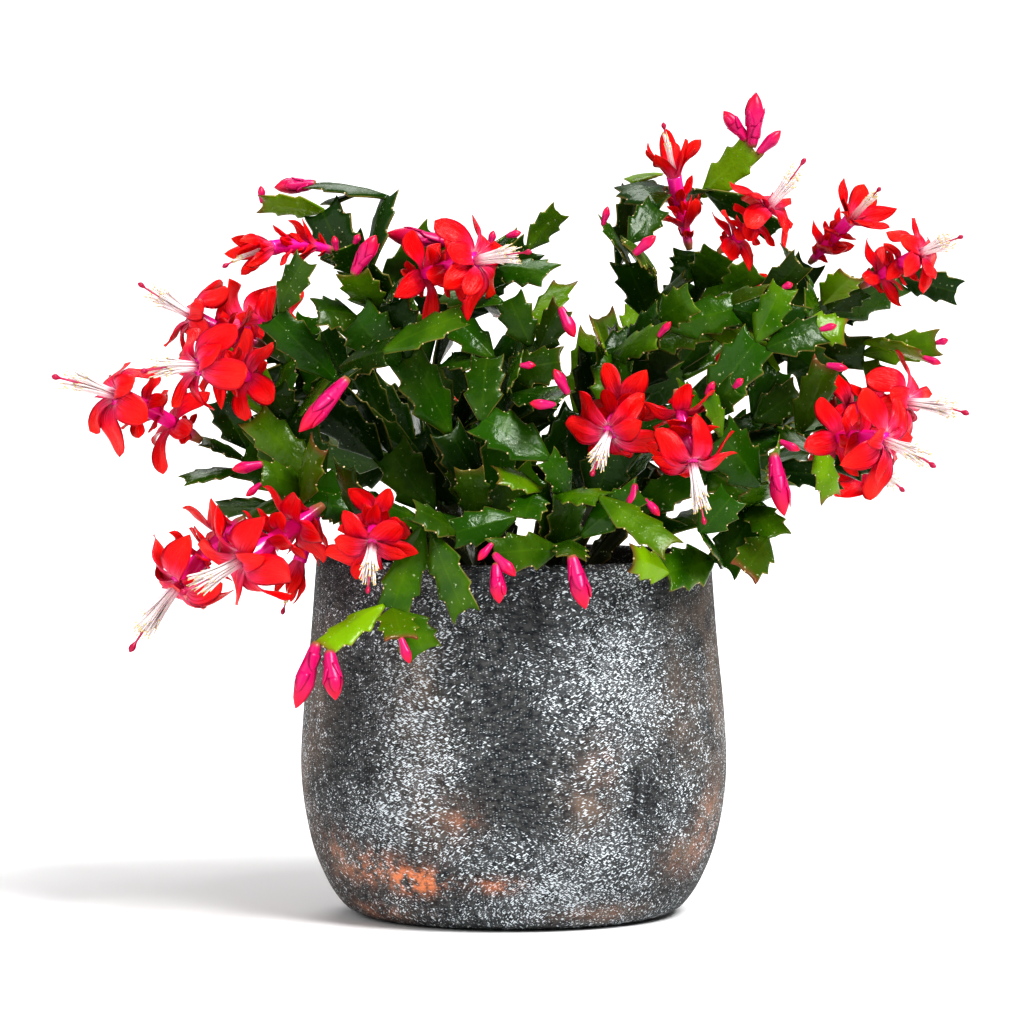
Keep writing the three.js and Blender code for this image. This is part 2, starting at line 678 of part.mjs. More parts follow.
function solidFrom(points, faces) {
  const geometry = new THREE.BufferGeometry().setFromPoints(points);
  geometry.setIndex(faces.flat());
  return solidOf(geometry);
}

// One side of a joint's outline, as shares of half its width and of its length: foot,
// shoulder, a forward tooth and its notch, another, the horn, and the blunt end.
const JOINT_SIDE = [
  [0.24, 0.02],
  [0.98, 0.4],
  [0.77, 0.47],
  [1.02, 0.73],
  [0.77, 0.79],
  [0.8, 1.08],
  [0.3, 0.99],
];
const JOINT_SPINE = [0.14, 0.86];

// Skins: points and faces to which a stem's joints and buds are added one by one. Loops of
// four points, counted the same way round, are where one body goes over into the next.
function addLoop(skin, points) {
  return points.map((p) => skin.points.push(p) - 1);
}

function bridge(skin, low, high) {
  const spread = (turn) =>
    low.reduce((sum, a, i) => sum + skin.points[a].distanceTo(skin.points[high[(i + turn) % 4]]), 0);
  const turn = [0, 1, 2, 3].sort((s, t) => spread(s) - spread(t))[0];
  for (let i = 0; i < 4; i++) {
    const [a, b] = [low[i], low[(i + 1) % 4]];
    const [c, d] = [high[(i + 1 + turn) % 4], high[(i + turn) % 4]];
    skin.faces.push([a, b, c], [a, c, d]);
  }
}

function squareRing(middle, axes, radius) {
  return [0, 1, 2, 3].map((i) => {
    const turn = (Math.PI / 2) * i;
    const p = plus(middle, axes.normal, radius * Math.cos(turn));
    return p.addScaledVector(axes.side, radius * Math.sin(turn));
  });
}

// Foot and top of the peg on which a rooted stem stands in its hole in the soil.
function pegRings(root, slack) {
  const axes = axesFor(vec(0, 0, 1), vec(1, 0, 0));
  const low = plus(root, vec(0, 0, 1), -ROOT_DEPTH - slack);
  return [low, plus(root, vec(0, 0, 1), -0.5)].map((p) => squareRing(p, axes, ROOT_RADIUS + slack * 1.5));
}

// A joint is a lens: a sharp outline, thickest along its spine. Both faces are split alike.
function addJoint(skin, loop, joint) {
  const { base, axes, length, width, thick } = joint;
  const place = (x, y, z) => {
    const bow = JOINT_ARCH * 4 * y * (1 - y) - JOINT_ARCH * x * x;
    const p = plus(base, axes.along, length * y);
    p.addScaledVector(axes.side, (width / 2) * x);
    return p.addScaledVector(axes.normal, bow + z);
  };
  const right = addLoop(skin, JOINT_SIDE.map(([x, y]) => place(x, y, 0)));
  const left = addLoop(skin, JOINT_SIDE.map(([x, y]) => place(-x, y, 0)));
  const front = addLoop(skin, JOINT_SPINE.map((y) => place(0, y, thick / 2)));
  const back = addLoop(skin, JOINT_SPINE.map((y) => place(0, y, -thick / 2)));
  bridge(skin, loop, [left[0], front[0], right[0], back[0]]);
  const tall = JOINT_SIDE.length - 2;
  for (const [side, spine, flip] of [
    [right, front, false],
    [left, back, false],
    [left, front, true],
    [right, back, true],
  ]) {
    const face = (a, b, c) => skin.faces.push(flip ? [a, c, b] : [a, b, c]);
    for (let i = 0; i < tall; i++) {
      const k = JOINT_SIDE[i][1] > 0.45 ? 1 : 0;
      const before = i > 0 && JOINT_SIDE[i - 1][1] > 0.45 ? 1 : 0;
      if (k > before) face(spine[0], side[i], spine[1]);
      face(spine[k], side[i], side[i + 1]);
    }
  }
  const [n, s] = [tall, JOINT_SPINE.length - 1];
  for (const [slot, p, q] of [
    [-1, left[n], left[n + 1]],
    [0, left[n + 1], right[n + 1]],
    [1, right[n + 1], right[n]],
  ]) {
    const next = joint.slots[slot];
    const open = [p, front[s], q, back[s]];
    if (!next) skin.faces.push([front[s], q, p], [back[s], p, q]);
    else if (next.aim) addBud(skin, open, next);
    else addJoint(skin, open, next);
  }
}

function addBud(skin, loop, { foot, aim, length, radius }) {
  const axes = axesFor(aim, vec(0.31, -0.83, 0.46));
  const neck = addLoop(skin, squareRing(plus(foot, aim, length * 0.22), axes, radius * 0.62));
  const belly = addLoop(skin, squareRing(plus(foot, aim, length * 0.66), axes, radius));
  const [tip] = addLoop(skin, [plus(foot, aim, length)]);
  bridge(skin, loop, neck);
  bridge(skin, neck, belly);
  for (let i = 0; i < 4; i++) skin.faces.push([belly[i], belly[(i + 1) % 4], tip]);
}

function stemSolid(stem) {
  const skin = { points: [], faces: [] };
  const [low, high] = pegRings(stem.root, 0).map((ring) => addLoop(skin, ring));
  skin.faces.push([low[0], low[2], low[1]], [low[0], low[3], low[2]]);
  bridge(skin, low, high);
  addJoint(skin, high, stem.first);
  return solidFrom(skin.points, skin.faces);
}

// A closed skin over rings of points, with a cap or a point at each end.
function ringsSolid(rings) {
  const points = [];
  const starts = rings.map((ring) => {
    const start = points.length;
    points.push(...ring);
    return start;
  });
  const sides = Math.max(...rings.map((ring) => ring.length));
  const faces = [];
  for (let r = 0; r < rings.length - 1; r++)
    for (let i = 0; i < sides; i++) {
      const j = (i + 1) % sides;
      const [lowI, lowJ] = rings[r].length === 1 ? [starts[r], starts[r]] : [starts[r] + i, starts[r] + j];
      const top = starts[r + 1];
      const [topI, topJ] = rings[r + 1].length === 1 ? [top, top] : [top + i, top + j];
      if (lowI !== lowJ) faces.push([lowI, lowJ, topJ]);
      if (topI !== topJ) faces.push([lowI, topJ, topI]);
    }
  for (let i = 1; i < sides - 1; i++) {
    if (rings[0].length > 1) faces.push([starts[0], starts[0] + i + 1, starts[0] + i]);
    const end = starts[rings.length - 1];
    if (rings[rings.length - 1].length > 1) faces.push([end, end + i, end + i + 1]);
  }
  return solidFrom(points, faces);
}

function ringAt(middle, axis, radius, sides) {
  if (radius === 0) return [middle];
  const { normal, side } = axesFor(axis, vec(0.31, -0.83, 0.46));
  return Array.from({ length: sides }, (_, i) => {
    const turn = (2 * Math.PI * i) / sides;
    return plus(plus(middle, normal, radius * Math.cos(turn)), side, radius * Math.sin(turn));
  });
}

// A bloom is one skin: rings round its tube, and where a petal stands, the patch of tube
// between two rings is drawn out into the petal.
function bloomSolid(bloom) {
  const points = [];
  const faces = [];
  const quad = (a, b, c, d) => faces.push([a, b, c], [a, c, d]);
  const petals = petalsOf(bloom);
  for (const [s, r] of TUBE) {
    const axis = bloom.heading(s);
    const { normal, side } = roundTube(axis);
    for (let i = 0; i < TUBE_SIDES; i++) {
      const turn = radians((360 * i) / TUBE_SIDES);
      const out = normal.clone().multiplyScalar(Math.cos(turn)).addScaledVector(side, Math.sin(turn));
      points.push(plus(bloom.at(s), out, r * bloom.scale));
    }
  }
  for (let ring = 0; ring < TUBE.length - 1; ring++)
    for (let i = 0; i < TUBE_SIDES; i++) {
      const j = (i + 1) % TUBE_SIDES;
      const [a, b] = [ring * TUBE_SIDES + i, ring * TUBE_SIDES + j];
      const [c, d] = [b + TUBE_SIDES, a + TUBE_SIDES];
      const petal = petals.find((p) => p.ring === ring && p.patch === i);
      if (!petal) {
        quad(a, b, c, d);
        continue;
      }
      const line = petalLine(bloom, petal);
      const [middle, end] = [line[PETAL_WIDEST], line[PETAL_ROWS]];
      const [w, t] = [petal.width / 2, PETAL_THICK / 2];
      const first = points.length;
      points.push(plus(plus(middle.place, middle.across, -w), middle.face, -t * 0.4));
      points.push(plus(plus(middle.place, middle.across, w), middle.face, -t * 0.4));
      points.push(plus(middle.place, middle.face, t), plus(middle.place, middle.face, -t));
      points.push(end.place);
      faces.push(...petalFaces(a, b, c, d, first));
    }
  const last = points.length;
  points.push(bloom.at(TUBE[0][0]), bloom.at(TUBE[TUBE.length - 1][0]));
  const rim = (TUBE.length - 1) * TUBE_SIDES;
  for (let i = 0; i < TUBE_SIDES; i++) {
    const j = (i + 1) % TUBE_SIDES;
    faces.push([last, j, i], [last + 1, rim + i, rim + j]);
  }
  return solidFrom(points, faces);
}

// Faces of a petal drawn out of the patch a-b-c-d. Its middle has a left, a right, an upper
// and a lower point, and then comes its tip.
function petalFaces(a, b, c, d, first) {
  const [left, right, upper, lower, tip] = [0, 1, 2, 3, 4].map((k) => first + k);
  return [
    [a, b, lower], [a, lower, left], [b, right, lower],
    [b, c, right], [c, d, upper], [c, upper, right],
    [d, left, upper], [d, a, left],
    [left, lower, tip], [lower, right, tip], [right, upper, tip], [upper, left, tip],
  ];
}

function stamensSolid(bloom) {
  const mouth = 44 + (GAP + 0.1) / bloom.scale;
  const tip = BLOOM_LENGTH;
  const stations = [[mouth, 2.4], [62, 3], [66, 0.8], [tip - 2, 1.3], [tip, 0]];
  return ringsSolid(stations.map(([s, r]) => ringAt(bloom.at(s), bloom.heading(s), r * bloom.scale, 4)));
}

// Pot and soil

function lathe(profile, sides) {
  const points = profile.map(([r, z]) => new THREE.Vector2(r, z));
  return new THREE.LatheGeometry(points, sides).rotateX(Math.PI / 2);
}

function potGeometry() {
  const profile = [[0, 0], ...POT_OUTSIDE];
  const lip = POT_OUTSIDE[POT_OUTSIDE.length - 1][0];
  profile.push([lip - 1.6, POT_HEIGHT - 0.4], [lip - POT_WALL + 1.4, POT_HEIGHT]);
  profile.push([lip - POT_WALL, POT_HEIGHT - 3]);
  for (const z of [122, 70, 24]) profile.push([potRadiusAt(z) - POT_WALL, z]);
  profile.push([66, POT_FLOOR], [0, POT_FLOOR]);
  return lathe(profile, POT_SIDES);
}

function soilSolid() {
  const inner = (z) => (potRadiusAt(z) - POT_WALL) * Math.cos(Math.PI / POT_SIDES) - 1.2;
  const profile = [
    [0, POT_FLOOR + GAP],
    [62, POT_FLOOR + GAP],
    [inner(30) - 2, 30],
    [inner(70) - 1, 70],
    [inner(122) - 0.6, 122],
    [inner(SOIL_TOP) - 0.4, SOIL_TOP],
    [0, SOIL_TOP + SOIL_MOUND],
  ];
  const holes = stems.map(({ root }) => {
    const [low, high] = pegRings(root, GAP);
    return ringsSolid([low, high.map((p) => p.clone().setZ(SOIL_TOP + SOIL_MOUND + 5))]);
  });
  return solidOf(lathe(profile, SOIL_SIDES)).subtract(wasm.Manifold.union(holes));
}

// The finished group

const COLOURS = {
  pot: { color: 0x4a4d4f, roughness: 0.9 },
  soil: { color: 0x2b1d14, roughness: 1 },
  stem: { color: 0x2f6b1c, roughness: 0.45 },
  bloom: { color: 0xd9141c, roughness: 0.5 },
  stamens: { color: 0xf3e6dc, roughness: 0.6 },
};

const plant = new THREE.Group();

function place(name, geometry, finish) {
  const material = new THREE.MeshStandardMaterial({ ...COLOURS[finish], metalness: 0 });
  const mesh = new THREE.Mesh(geometry, material);
  mesh.name = name;
  plant.add(mesh);
}

place("pot", potGeometry(), "pot");
place("soil", geometryOf(soilSolid()), "soil");
for (const stem of stems) place(stem.name, geometryOf(stemSolid(stem)), "stem");
for (const bloom of blooms) {
  place(`bloom_${bloom.name}`, geometryOf(bloomSolid(bloom)), "bloom");
  place(`stamens_${bloom.name}`, geometryOf(stamensSolid(bloom)), "stamens");
}

export default plant;
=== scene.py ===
"""A flowering Christmas cactus in a stoneware pot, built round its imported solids.

The plant grows here by the same rule as its solids do. Each stem, bloom and bundle of
stamens is then made again with finer edges, ribs, petals and threads, in the same place.
"""

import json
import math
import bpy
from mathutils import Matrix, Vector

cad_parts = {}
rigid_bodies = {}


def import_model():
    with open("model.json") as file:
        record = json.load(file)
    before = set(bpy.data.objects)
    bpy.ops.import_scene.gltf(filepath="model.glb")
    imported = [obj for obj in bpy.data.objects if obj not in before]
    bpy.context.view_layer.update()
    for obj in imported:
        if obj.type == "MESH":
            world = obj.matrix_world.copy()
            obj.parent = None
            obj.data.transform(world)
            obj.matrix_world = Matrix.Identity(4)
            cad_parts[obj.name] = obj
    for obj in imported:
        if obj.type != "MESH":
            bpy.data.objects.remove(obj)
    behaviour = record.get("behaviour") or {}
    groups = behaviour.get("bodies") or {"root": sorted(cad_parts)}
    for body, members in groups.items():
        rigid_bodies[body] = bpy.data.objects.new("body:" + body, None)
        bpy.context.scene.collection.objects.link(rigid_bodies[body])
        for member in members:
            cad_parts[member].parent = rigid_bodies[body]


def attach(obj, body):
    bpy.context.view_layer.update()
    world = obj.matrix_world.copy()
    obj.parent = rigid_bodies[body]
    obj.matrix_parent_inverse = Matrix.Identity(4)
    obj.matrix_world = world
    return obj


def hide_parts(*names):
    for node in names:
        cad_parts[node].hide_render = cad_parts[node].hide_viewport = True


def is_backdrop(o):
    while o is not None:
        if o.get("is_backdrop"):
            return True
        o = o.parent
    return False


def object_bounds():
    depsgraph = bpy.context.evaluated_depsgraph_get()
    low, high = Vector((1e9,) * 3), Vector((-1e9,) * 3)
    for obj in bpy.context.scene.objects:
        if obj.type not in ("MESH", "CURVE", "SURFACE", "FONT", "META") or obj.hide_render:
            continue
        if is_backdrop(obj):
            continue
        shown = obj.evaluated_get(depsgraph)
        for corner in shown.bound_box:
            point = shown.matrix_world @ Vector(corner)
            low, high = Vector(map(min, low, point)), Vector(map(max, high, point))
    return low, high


bl_info = {
    "name": "Christmas cactus in a pot",
    "version": (1, 0, 0),
    "blender": (4, 5, 0),
    "location": "3D View > Sidebar > Cactus",
    "description": "Builds a flowering Christmas cactus, its stoneware pot and a plain stage",
    "category": "Object",
}

import bpy
import numpy as np
from bpy.props import FloatProperty, FloatVectorProperty, IntProperty, PointerProperty
from bpy.types import Operator, Panel, PropertyGroup

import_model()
cad_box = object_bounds()

MM = 0.001  # the growth rule counts in millimetres

# Sizes of the plant and pot, in millimetres

POT_WALL = 6
POT_OUTSIDE = [(68, 0), (76, 4), (84, 15), (91.4, 34), (95.8, 62), (94.8, 92), (91.8, 122), (89, 158)]
POT_HEIGHT = 162
SOIL_TOP = 147  # where the soil meets the wall
SOIL_MOUND = 4  # how much higher it stands in the middle
SOIL_RADIUS = 80
ROOT_RADIUS = 3
ROOT_DEPTH = 14
JOINT_PITCH = 31
JOINT_SHORTEST = 19
JOINT_LONGEST = 38
JOINT_WIDTH = 22
JOINT_THICK = 3.2
JOINT_ARCH = 0.9
HORN_REACH = 3  # how far the horns at a joint's end stand out beyond it
YOUNG_SHARE = 0.76  # size of the last joint of a shoot beside that of the others
BLOOM_LENGTH = 76
GAP = 0.3  # air between a bloom's foot and the joint that carries it

# The growth rule

EYE_DISTANCE = 2400
EYE_HEIGHT = 300
CROWN = np.array((0.0, 0.0, 130.0))  # the point that all shoots grow away from
ROOT_RISE = 2.3  # how steeply a rooted stem leaves the soil
DEAREST_SHOOT = 150  # a shoot that would cost more than this doesn't grow
MOST_ASIDE = 22  # how far a shoot's parent may stand to one side of it
# What makes a parent dearer beside its distance: the turn that the shoot makes there, each
# child that it already carries, and how far aside it stands.
COST_OF_TURN = 40
COST_OF_CHILD = 8
COST_OF_ASIDE = 170
ROUNDABOUT = 1.05  # how much longer a shoot is than the straight way to its tip
# For a shoot that stands and for one that hangs: how far its tip droops, and for which share of
# its span it keeps the heading it leaves with and the one it arrives with.
STANDING_SHOOT = (0.2, 0.36, 0.22)
HANGING_SHOOT = (2.6, 0.36, 0.4)
ROOTED_LEAVE = 0.72  # the share for the leaving of a hanging shoot with a root of its own
FOOT_WIDTH, FOOT_THICK = 0.55, 1.4  # a rooted stem's first joint beside the others
WIDTH_SPREAD = (0.88, 1.12)
MOST_ROLL = 28
FILL_TRIES = 118
FILL_SECTOR = (-15, 195)  # the sides of the plant that bare shoots fill, in degrees
LOBES = [((-62, 0, 232), (88, 118, 82)), ((84, 6, 236), (92, 116, 92))]  # middles and half sizes
NOTCH = (30, 255)  # the notch between the lobes: across, and height of its floor
NOTCH_SLOPE = 1.3  # how steeply its sides rise
NOTCH_LEAP = 42  # the longest step of a shoot across the notch
UP = np.array((0.0, 0.0, 1.0))
SKEW = np.array((0.31, -0.83, 0.46))  # a direction that no stem or tube runs along

# Seeds of the draws. Neighbours start a fixed step apart.

SEED = 20262
SHOOT_SEED_STEP = 7919
PETAL_SEED = 700
FILLING_SEED = 1900
PETAL_SEED_STEP = 37
STEM_SEED = 4100
STEM_SEED_STEP = 31
BLOOM_SEED = 5200
BLOOM_SEED_STEP = 17
STAMEN_SEED = 6300
STAMEN_SEED_STEP = 13
SOIL_SEED = 88

# Blooms: foot and end of the style as across, height and depth, how open, and the arch.
BLOOMS = {
    "a": ((-141, 213, -10), (-208, 242, -40), 1, 4),
    "b": ((-112, 256, 15), (-169, 284, 5), 1, -3),
    "c": ((-109, 238, -28), (-168, 244, -72), 1, 5),
    "e": ((-80, 298, -10), (-131, 291, -40), 0.15, 6),
    "f": ((-51, 284, -49), (8, 298, -88), 0.95, 2),
    "g": ((79, 299, 8), (67, 356, -8), 0.2, 0),
    "h": ((92, 298, -26), (131, 340, -46), 0.95, -4),
    "i": ((133, 293, 25), (164, 326, -5), 0.35, 0),
    "j": ((156, 282, 8), (202, 305, -18), 0.85, 2),
    "k": ((139, 223, -6), (205, 225, -36), 1, 6),
    "l": ((137, 212, -50), (190, 201, -96), 0.9, 7),
    "m": ((53, 235, -41), (35, 197, -94), 1.05, 3),
    "n": ((73, 236, -83), (86, 175, -106), 1.15, 2),
    "o": ((-121, 178, -28), (-174, 117, -50), 1, 5),
    "p": ((-86, 184, -66), (-157, 140, -106), 0.9, -2),
    "q": ((-86, 187, -35), (-103, 139, -40), 0.1, 2),
    "r": ((-61, 184, -77), (-66, 144, -124), 0.75, 5),
    "s": ((-96, 262, 96), (-140, 262, 140), 1, 5),
    "t": ((88, 258, 108), (118, 268, 168), 0.9, 5),
    "u": ((-8, 222, 128), (-14, 202, 196), 1, 7),
    "v": ((134, 208, 82), (176, 190, 122), 0.95, 6),
}

# Shoots: tip is across, height and depth of the shoot's end. root is the angle and radius at
# which a rooted stem leaves the soil; other shoots grow from the joint that suits them best.
# Each bud is an angle in the picture plane, a length, and how far it leans to the viewer.
SHOOTS = [
    {"root": [200, 30], "bloom": "a"},
    {"root": [160, 24], "bloom": "b"},
    {"root": [130, 14], "bloom": "e"},
    {"root": [222, 36], "bloom": "o"},
    {"root": [245, 38], "bloom": "r"},
    {"root": [262, 20], "bloom": "f"},
    {"root": [52, 12], "bloom": "g"},
    {"root": [10, 22], "bloom": "j"},
    {"root": [345, 32], "bloom": "k"},
    {"root": [318, 30], "bloom": "m"},
    {"root": [292, 40], "tip": [26, 161, -112], "buds": [[-75, 24, 0.2]]},
    {"root": [265, 44], "tip": [-66, 146, -112], "hang": True},
    {"root": [120, 36], "bloom": "s"},
    {"root": [68, 36], "bloom": "t"},
    {"root": [94, 40], "bloom": "u"},
    {"root": [36, 40], "bloom": "v"},
    {"bloom": "c"},
    {"bloom": "h"},
    {"bloom": "i"},
    {"bloom": "l"},
    {"bloom": "n"},
    {"bloom": "p"},
    {"bloom": "q"},
    {"tip": [-51, 124, -118], "buds": [[-70, 12, 0.2]], "hang": True},
    {"tip": [-86, 120, -114], "buds": [[-108, 30, 0.1], [-82, 22, 0.3]], "hang": True},
    {"tip": [-148, 195, -15]},
    {"tip": [-134, 183, 0]},
    {"tip": [-118, 160, 5]},
    {"tip": [-113, 195, -62], "buds": [[190, 14, 0.1], [220, 9, 0.2]]},
    {"tip": [-113, 320, 12], "buds": [[95, 8, 0]]},
    {"tip": [-92, 329, 22], "buds": [[185, 19, 0]]},
    {"tip": [-75, 322, 30], "buds": [[80, 6, 0]]},
    {"tip": [-112, 272, -55]},
    {"tip": [-94, 294, -62]},
    {"tip": [-72, 288, -70], "buds": [[60, 20, 0.1]]},
    {"tip": [-40, 310, 0], "buds": [[172, 30, 0.05]]},
    {"tip": [-73, 303, -20], "buds": [[100, 7, 0.1], [60, 5, 0]]},
    {"tip": [-75, 241, -88], "buds": [[-132, 32, 0.25]]},
    {"tip": [-21, 133, -116]},
    {"tip": [-40, 130, -112]},
    {"tip": [-9, 162, -116], "buds": [[-130, 10, 0.3], [-85, 18, 0.4], [-45, 14, 0.3]]},
    {"tip": [20, 316, 10]},
    {"tip": [3, 303, 22]},
    {"tip": [-7, 303, -30], "buds": [[75, 7, 0], [15, 7, 0.1]]},
    {"tip": [21, 273, -62], "buds": [[-65, 15, 0.2]]},
    {"tip": [3, 247, -80], "buds": [[0, 7, 0.2]]},
    {"tip": [19, 236, -95], "buds": [[120, 13, 0.2], [175, 12, 0.3]]},
    {"tip": [40, 310, -18], "buds": [[75, 9, 0.1]]},
    {"tip": [54, 297, -60], "buds": [[40, 13, 0.2]]},
    {"tip": [45, 333, 12]},
    {"tip": [64, 318, -28]},
    {"tip": [62, 329, 25]},
    {"tip": [107, 345, 16], "buds": [[86, 25, 0], [128, 17, 0.1], [46, 15, 0]]},
    {"tip": [126, 320, 22]},
    {"tip": [121, 282, -48], "buds": [[20, 5, 0.2]]},
    {"tip": [155, 288, -15]},
    {"tip": [199, 280, 28]},
    {"tip": [190, 257, 15], "buds": [[15, 6, 0]]},
    {"tip": [182, 246, -5], "buds": [[-20, 9, 0]]},
    {"tip": [137, 266, -50], "buds": [[15, 8, 0.1]]},
    {"tip": [141, 248, -52], "buds": [[-10, 10, 0.1]]},
    {"tip": [99, 237, -75], "buds": [[45, 6, 0.2]]},
    {"tip": [65, 260, -53], "buds": [[50, 9, 0.2]]},
    {"tip": [80, 277, -50]},
    {"tip": [95, 270, -55]},
    {"tip": [143, 188, -25]},
    {"tip": [118, 170, -50]},
    {"tip": [125, 209, -72], "buds": [[-80, 28, 0.15], [-25, 10, 0.2]]},
    {"tip": [57, 190, -92], "buds": [[-100, 14, 0.3], [-50, 10, 0.3]]},
    {"tip": [12, 191, -76]},
    {"tip": [75, 226, -85], "buds": [[60, 7, 0.1]]},
    {"tip": [167, 237, 10]},
    {"tip": [84, 172, -74]},
    {"tip": [104, 154, -80], "hang": True},
    {"tip": [-2, 277, -50]},
    {"tip": [15, 288, -36]},
    {"tip": [36, 264, -42]},
    {"tip": [46, 242, -34]},
    {"tip": [-84, 280, -66]},
    {"tip": [-56, 254, -80]},
    {"tip": [-72, 204, -88]},
    {"tip": [-124, 222, -46]},
    {"tip": [-98, 214, -64]},
    {"tip": [148, 262, -26]},
    {"tip": [98, 188, -78]},
    {"tip": [-22, 264, -78]},
    {"tip": [-30, 292, -40]},
    {"tip": [-132, 232, 10]},
    {"tip": [-20, 200, -84]},
    {"tip": [12, 204, -80]},
    {"tip": [60, 262, -20]},
    {"tip": [8, 262, -36]},
    {"tip": [22, 248, -56]},
    {"tip": [-12, 250, -66]},
    {"tip": [24, 286, -8]},
    {"tip": [5, 178, -95]},
    {"tip": [-28, 172, -98]},
    {"tip": [40, 178, -96]},
    {"tip": [-48, 168, -100]},
    {"tip": [72, 166, -86]},
    {"tip": [20, 190, -70]},
    {"tip": [-10, 186, -78]},
    {"tip": [54, 160, -95]},
]

# Draws and directions

# A draw multiplies its state by DRAW_STEP, and divides by DRAW_RANGE to keep the remainder.
DRAW_STEP = 16807
DRAW_RANGE = 2147483647
FULL_TURN = 6.28  # in radians


def draws_from(seed):
    """A seeded draw between two values, the same one that places the solids."""
    state = seed

    def draw(low, high):
        nonlocal state
        state = state * DRAW_STEP % DRAW_RANGE
        return low + (high - low) * state / DRAW_RANGE

    return draw


def mix(a, b, t):
    return a + (b - a) * t


def clamp(value, low, high):
    return min(high, max(low, value))


def vec(*xyz):
    return np.array(xyz, float)


def unit(v):
    return v / math.sqrt(v @ v)


def size_of(v):
    return math.sqrt(v @ v)


def seen(across, height, depth):
    """The place at that depth which the eye sees over the same point of the upright plane."""
    spread = (EYE_DISTANCE + depth) / EYE_DISTANCE
    return vec(across * spread, depth, EYE_HEIGHT + (height - EYE_HEIGHT) * spread)


def turned(v, axis, angle):
    """v turned about a unit axis."""
    quarter = math.sin(angle / 2) * axis
    twist = 2 * np.cross(quarter, v)
    return v + math.cos(angle / 2) * twist + np.cross(quarter, twist)


class Axes:
    """Three square axes: along is kept, and normal is as near to facing as it can be."""

    def __init__(self, along, facing, roll=0.0):
        self.along = along
        self.normal = turned(unit(facing - along * (facing @ along)), along, roll)
        self.side = np.cross(along, self.normal)


# Boxes that stand for pieces while the plant grows


class Box:
    """A turned box. A stalk is the narrow foot of a joint, and may meet those it grows among."""

    def __init__(self, middle, axes, half, stalk=False):
        self.middle = middle
        self.axes = np.array(axes)
        self.half = np.array(half)
        self.reach = size_of(self.half)
        self.stalk = stalk


def box_along(start, end, axes, half_side, half_normal, stalk=False):
    span = end - start
    sides = (axes.side, axes.along, axes.normal)
    return Box(start + span * 0.5, sides, (half_side, size_of(span) / 2, half_normal), stalk)


class Standing:
    """Everything that already stands, with whose box each one is."""

    def __init__(self):
        self.middles = np.zeros((0, 3))
        self.axes = np.zeros((0, 3, 3))
        self.halves = np.zeros((0, 3))
        self.reaches = np.zeros(0)
        self.notes = []

    def add(self, boxes, owner=None, parent=None, stem=None):
        self.middles = np.vstack([self.middles, [b.middle for b in boxes]])
        self.axes = np.concatenate([self.axes, [b.axes for b in boxes]])
        self.halves = np.vstack([self.halves, [b.half for b in boxes]])
        self.reaches = np.append(self.reaches, [b.reach for b in boxes])
        self.notes += [(owner, parent, stem, b.stalk) for b in boxes]

    def near(self, box):
        apart = self.middles - box.middle
        return np.nonzero((apart**2).sum(1) <= (box.reach + self.reaches) ** 2)[0]

    def met_by(self, box, which):
        """Which of the boxes listed meet this one, by the separating axis test."""
        others, halves = self.axes[which], self.halves[which]
        apart = self.middles[which] - box.middle
        turn = np.einsum("ij,nkj->nik", box.axes, others)
        size = np.abs(turn) + 1e-9
        t = apart @ box.axes.T
        clear = (np.abs(t) > box.half + np.einsum("nk,nik->ni", halves, size)).any(1)
        d = np.einsum("ni,nij->nj", t, turn)
        clear |= (np.abs(d) > halves + np.einsum("i,nij->nj", box.half, size)).any(1)
        for i in range(3):
            i1, i2 = (i + 1) % 3, (i + 2) % 3
            for j in range(3):
                j1, j2 = (j + 1) % 3, (j + 2) % 3
                reach = box.half[i1] * size[:, i2, j] + box.half[i2] * size[:, i1, j]
                reach += halves[:, j1] * size[:, i, j2] + halves[:, j2] * size[:, i, j1]
                clear |= np.abs(t[:, i2] * turn[:, i1, j] - t[:, i1] * turn[:, i2, j]) > reach
        return which[~clear]


def pot_radius_at(z):
    """Radius of the pot's outside at a height."""
    for (r0, z0), (r1, z1) in zip(POT_OUTSIDE, POT_OUTSIDE[1:]):
        if z <= z1:
            return mix(r0, r1, (z - z0) / (z1 - z0))
    return POT_OUTSIDE[-1][0]


def soil_at(radius):
    """Height of the soil at a distance from the middle of the pot."""
    return SOIL_TOP + SOIL_MOUND * (1 - radius / SOIL_RADIUS)


def meets_pot(box):
    """Whether a corner of the box is in the pot's wall, in the soil, or nearly so."""
    thick = box.half[2]
    for s in (-1, 0, 1):
        for t in (-1, 0, 1):
            p = box.middle + box.axes[0] * (s * box.half[0]) + box.axes[1] * (t * box.half[1])
            r = math.hypot(p[0], p[1])
            wall = pot_radius_at(p[2])
            if p[2] < POT_HEIGHT + 1 + thick and wall - POT_WALL - thick - 1 < r < wall + thick + 1:
                return True
            if r < wall - POT_WALL and p[2] < SOIL_TOP + SOIL_MOUND + thick:
                return True
    return False


# Blooms

# Radius of a bloom's tube along it, from its foot to its mouth.
TUBE = [(0, 1.7), (11, 2.8), (14.5, 3), (25, 3.5), (28, 3.7), (40.5, 4.2), (44, 4.4)]
TUBE_MOUTH = TUBE[-1][0]
MOUTH_RING = 5  # petals from this ring on stand round the mouth
PETAL_ROWS = 9
PETAL_WIDEST = 5  # the row at which a petal is widest
# Petals of a bloom: the ring of the tube each stands on, where it leaves, its places round
# the tube, its length and width, and the angles from the tube at which it starts and ends.
PETAL_TIERS = [
    (1, 12.7, (0, 1, 2, 3), 22, 11, (30, 62), (24, 122)),
    (3, 26.5, (1,), 20, 9, (24, 50), (30, 115)),
    (5, 42.2, (0, 1, 2, 3, 4), 27, 13.5, (15, 66), (8, 150)),
]
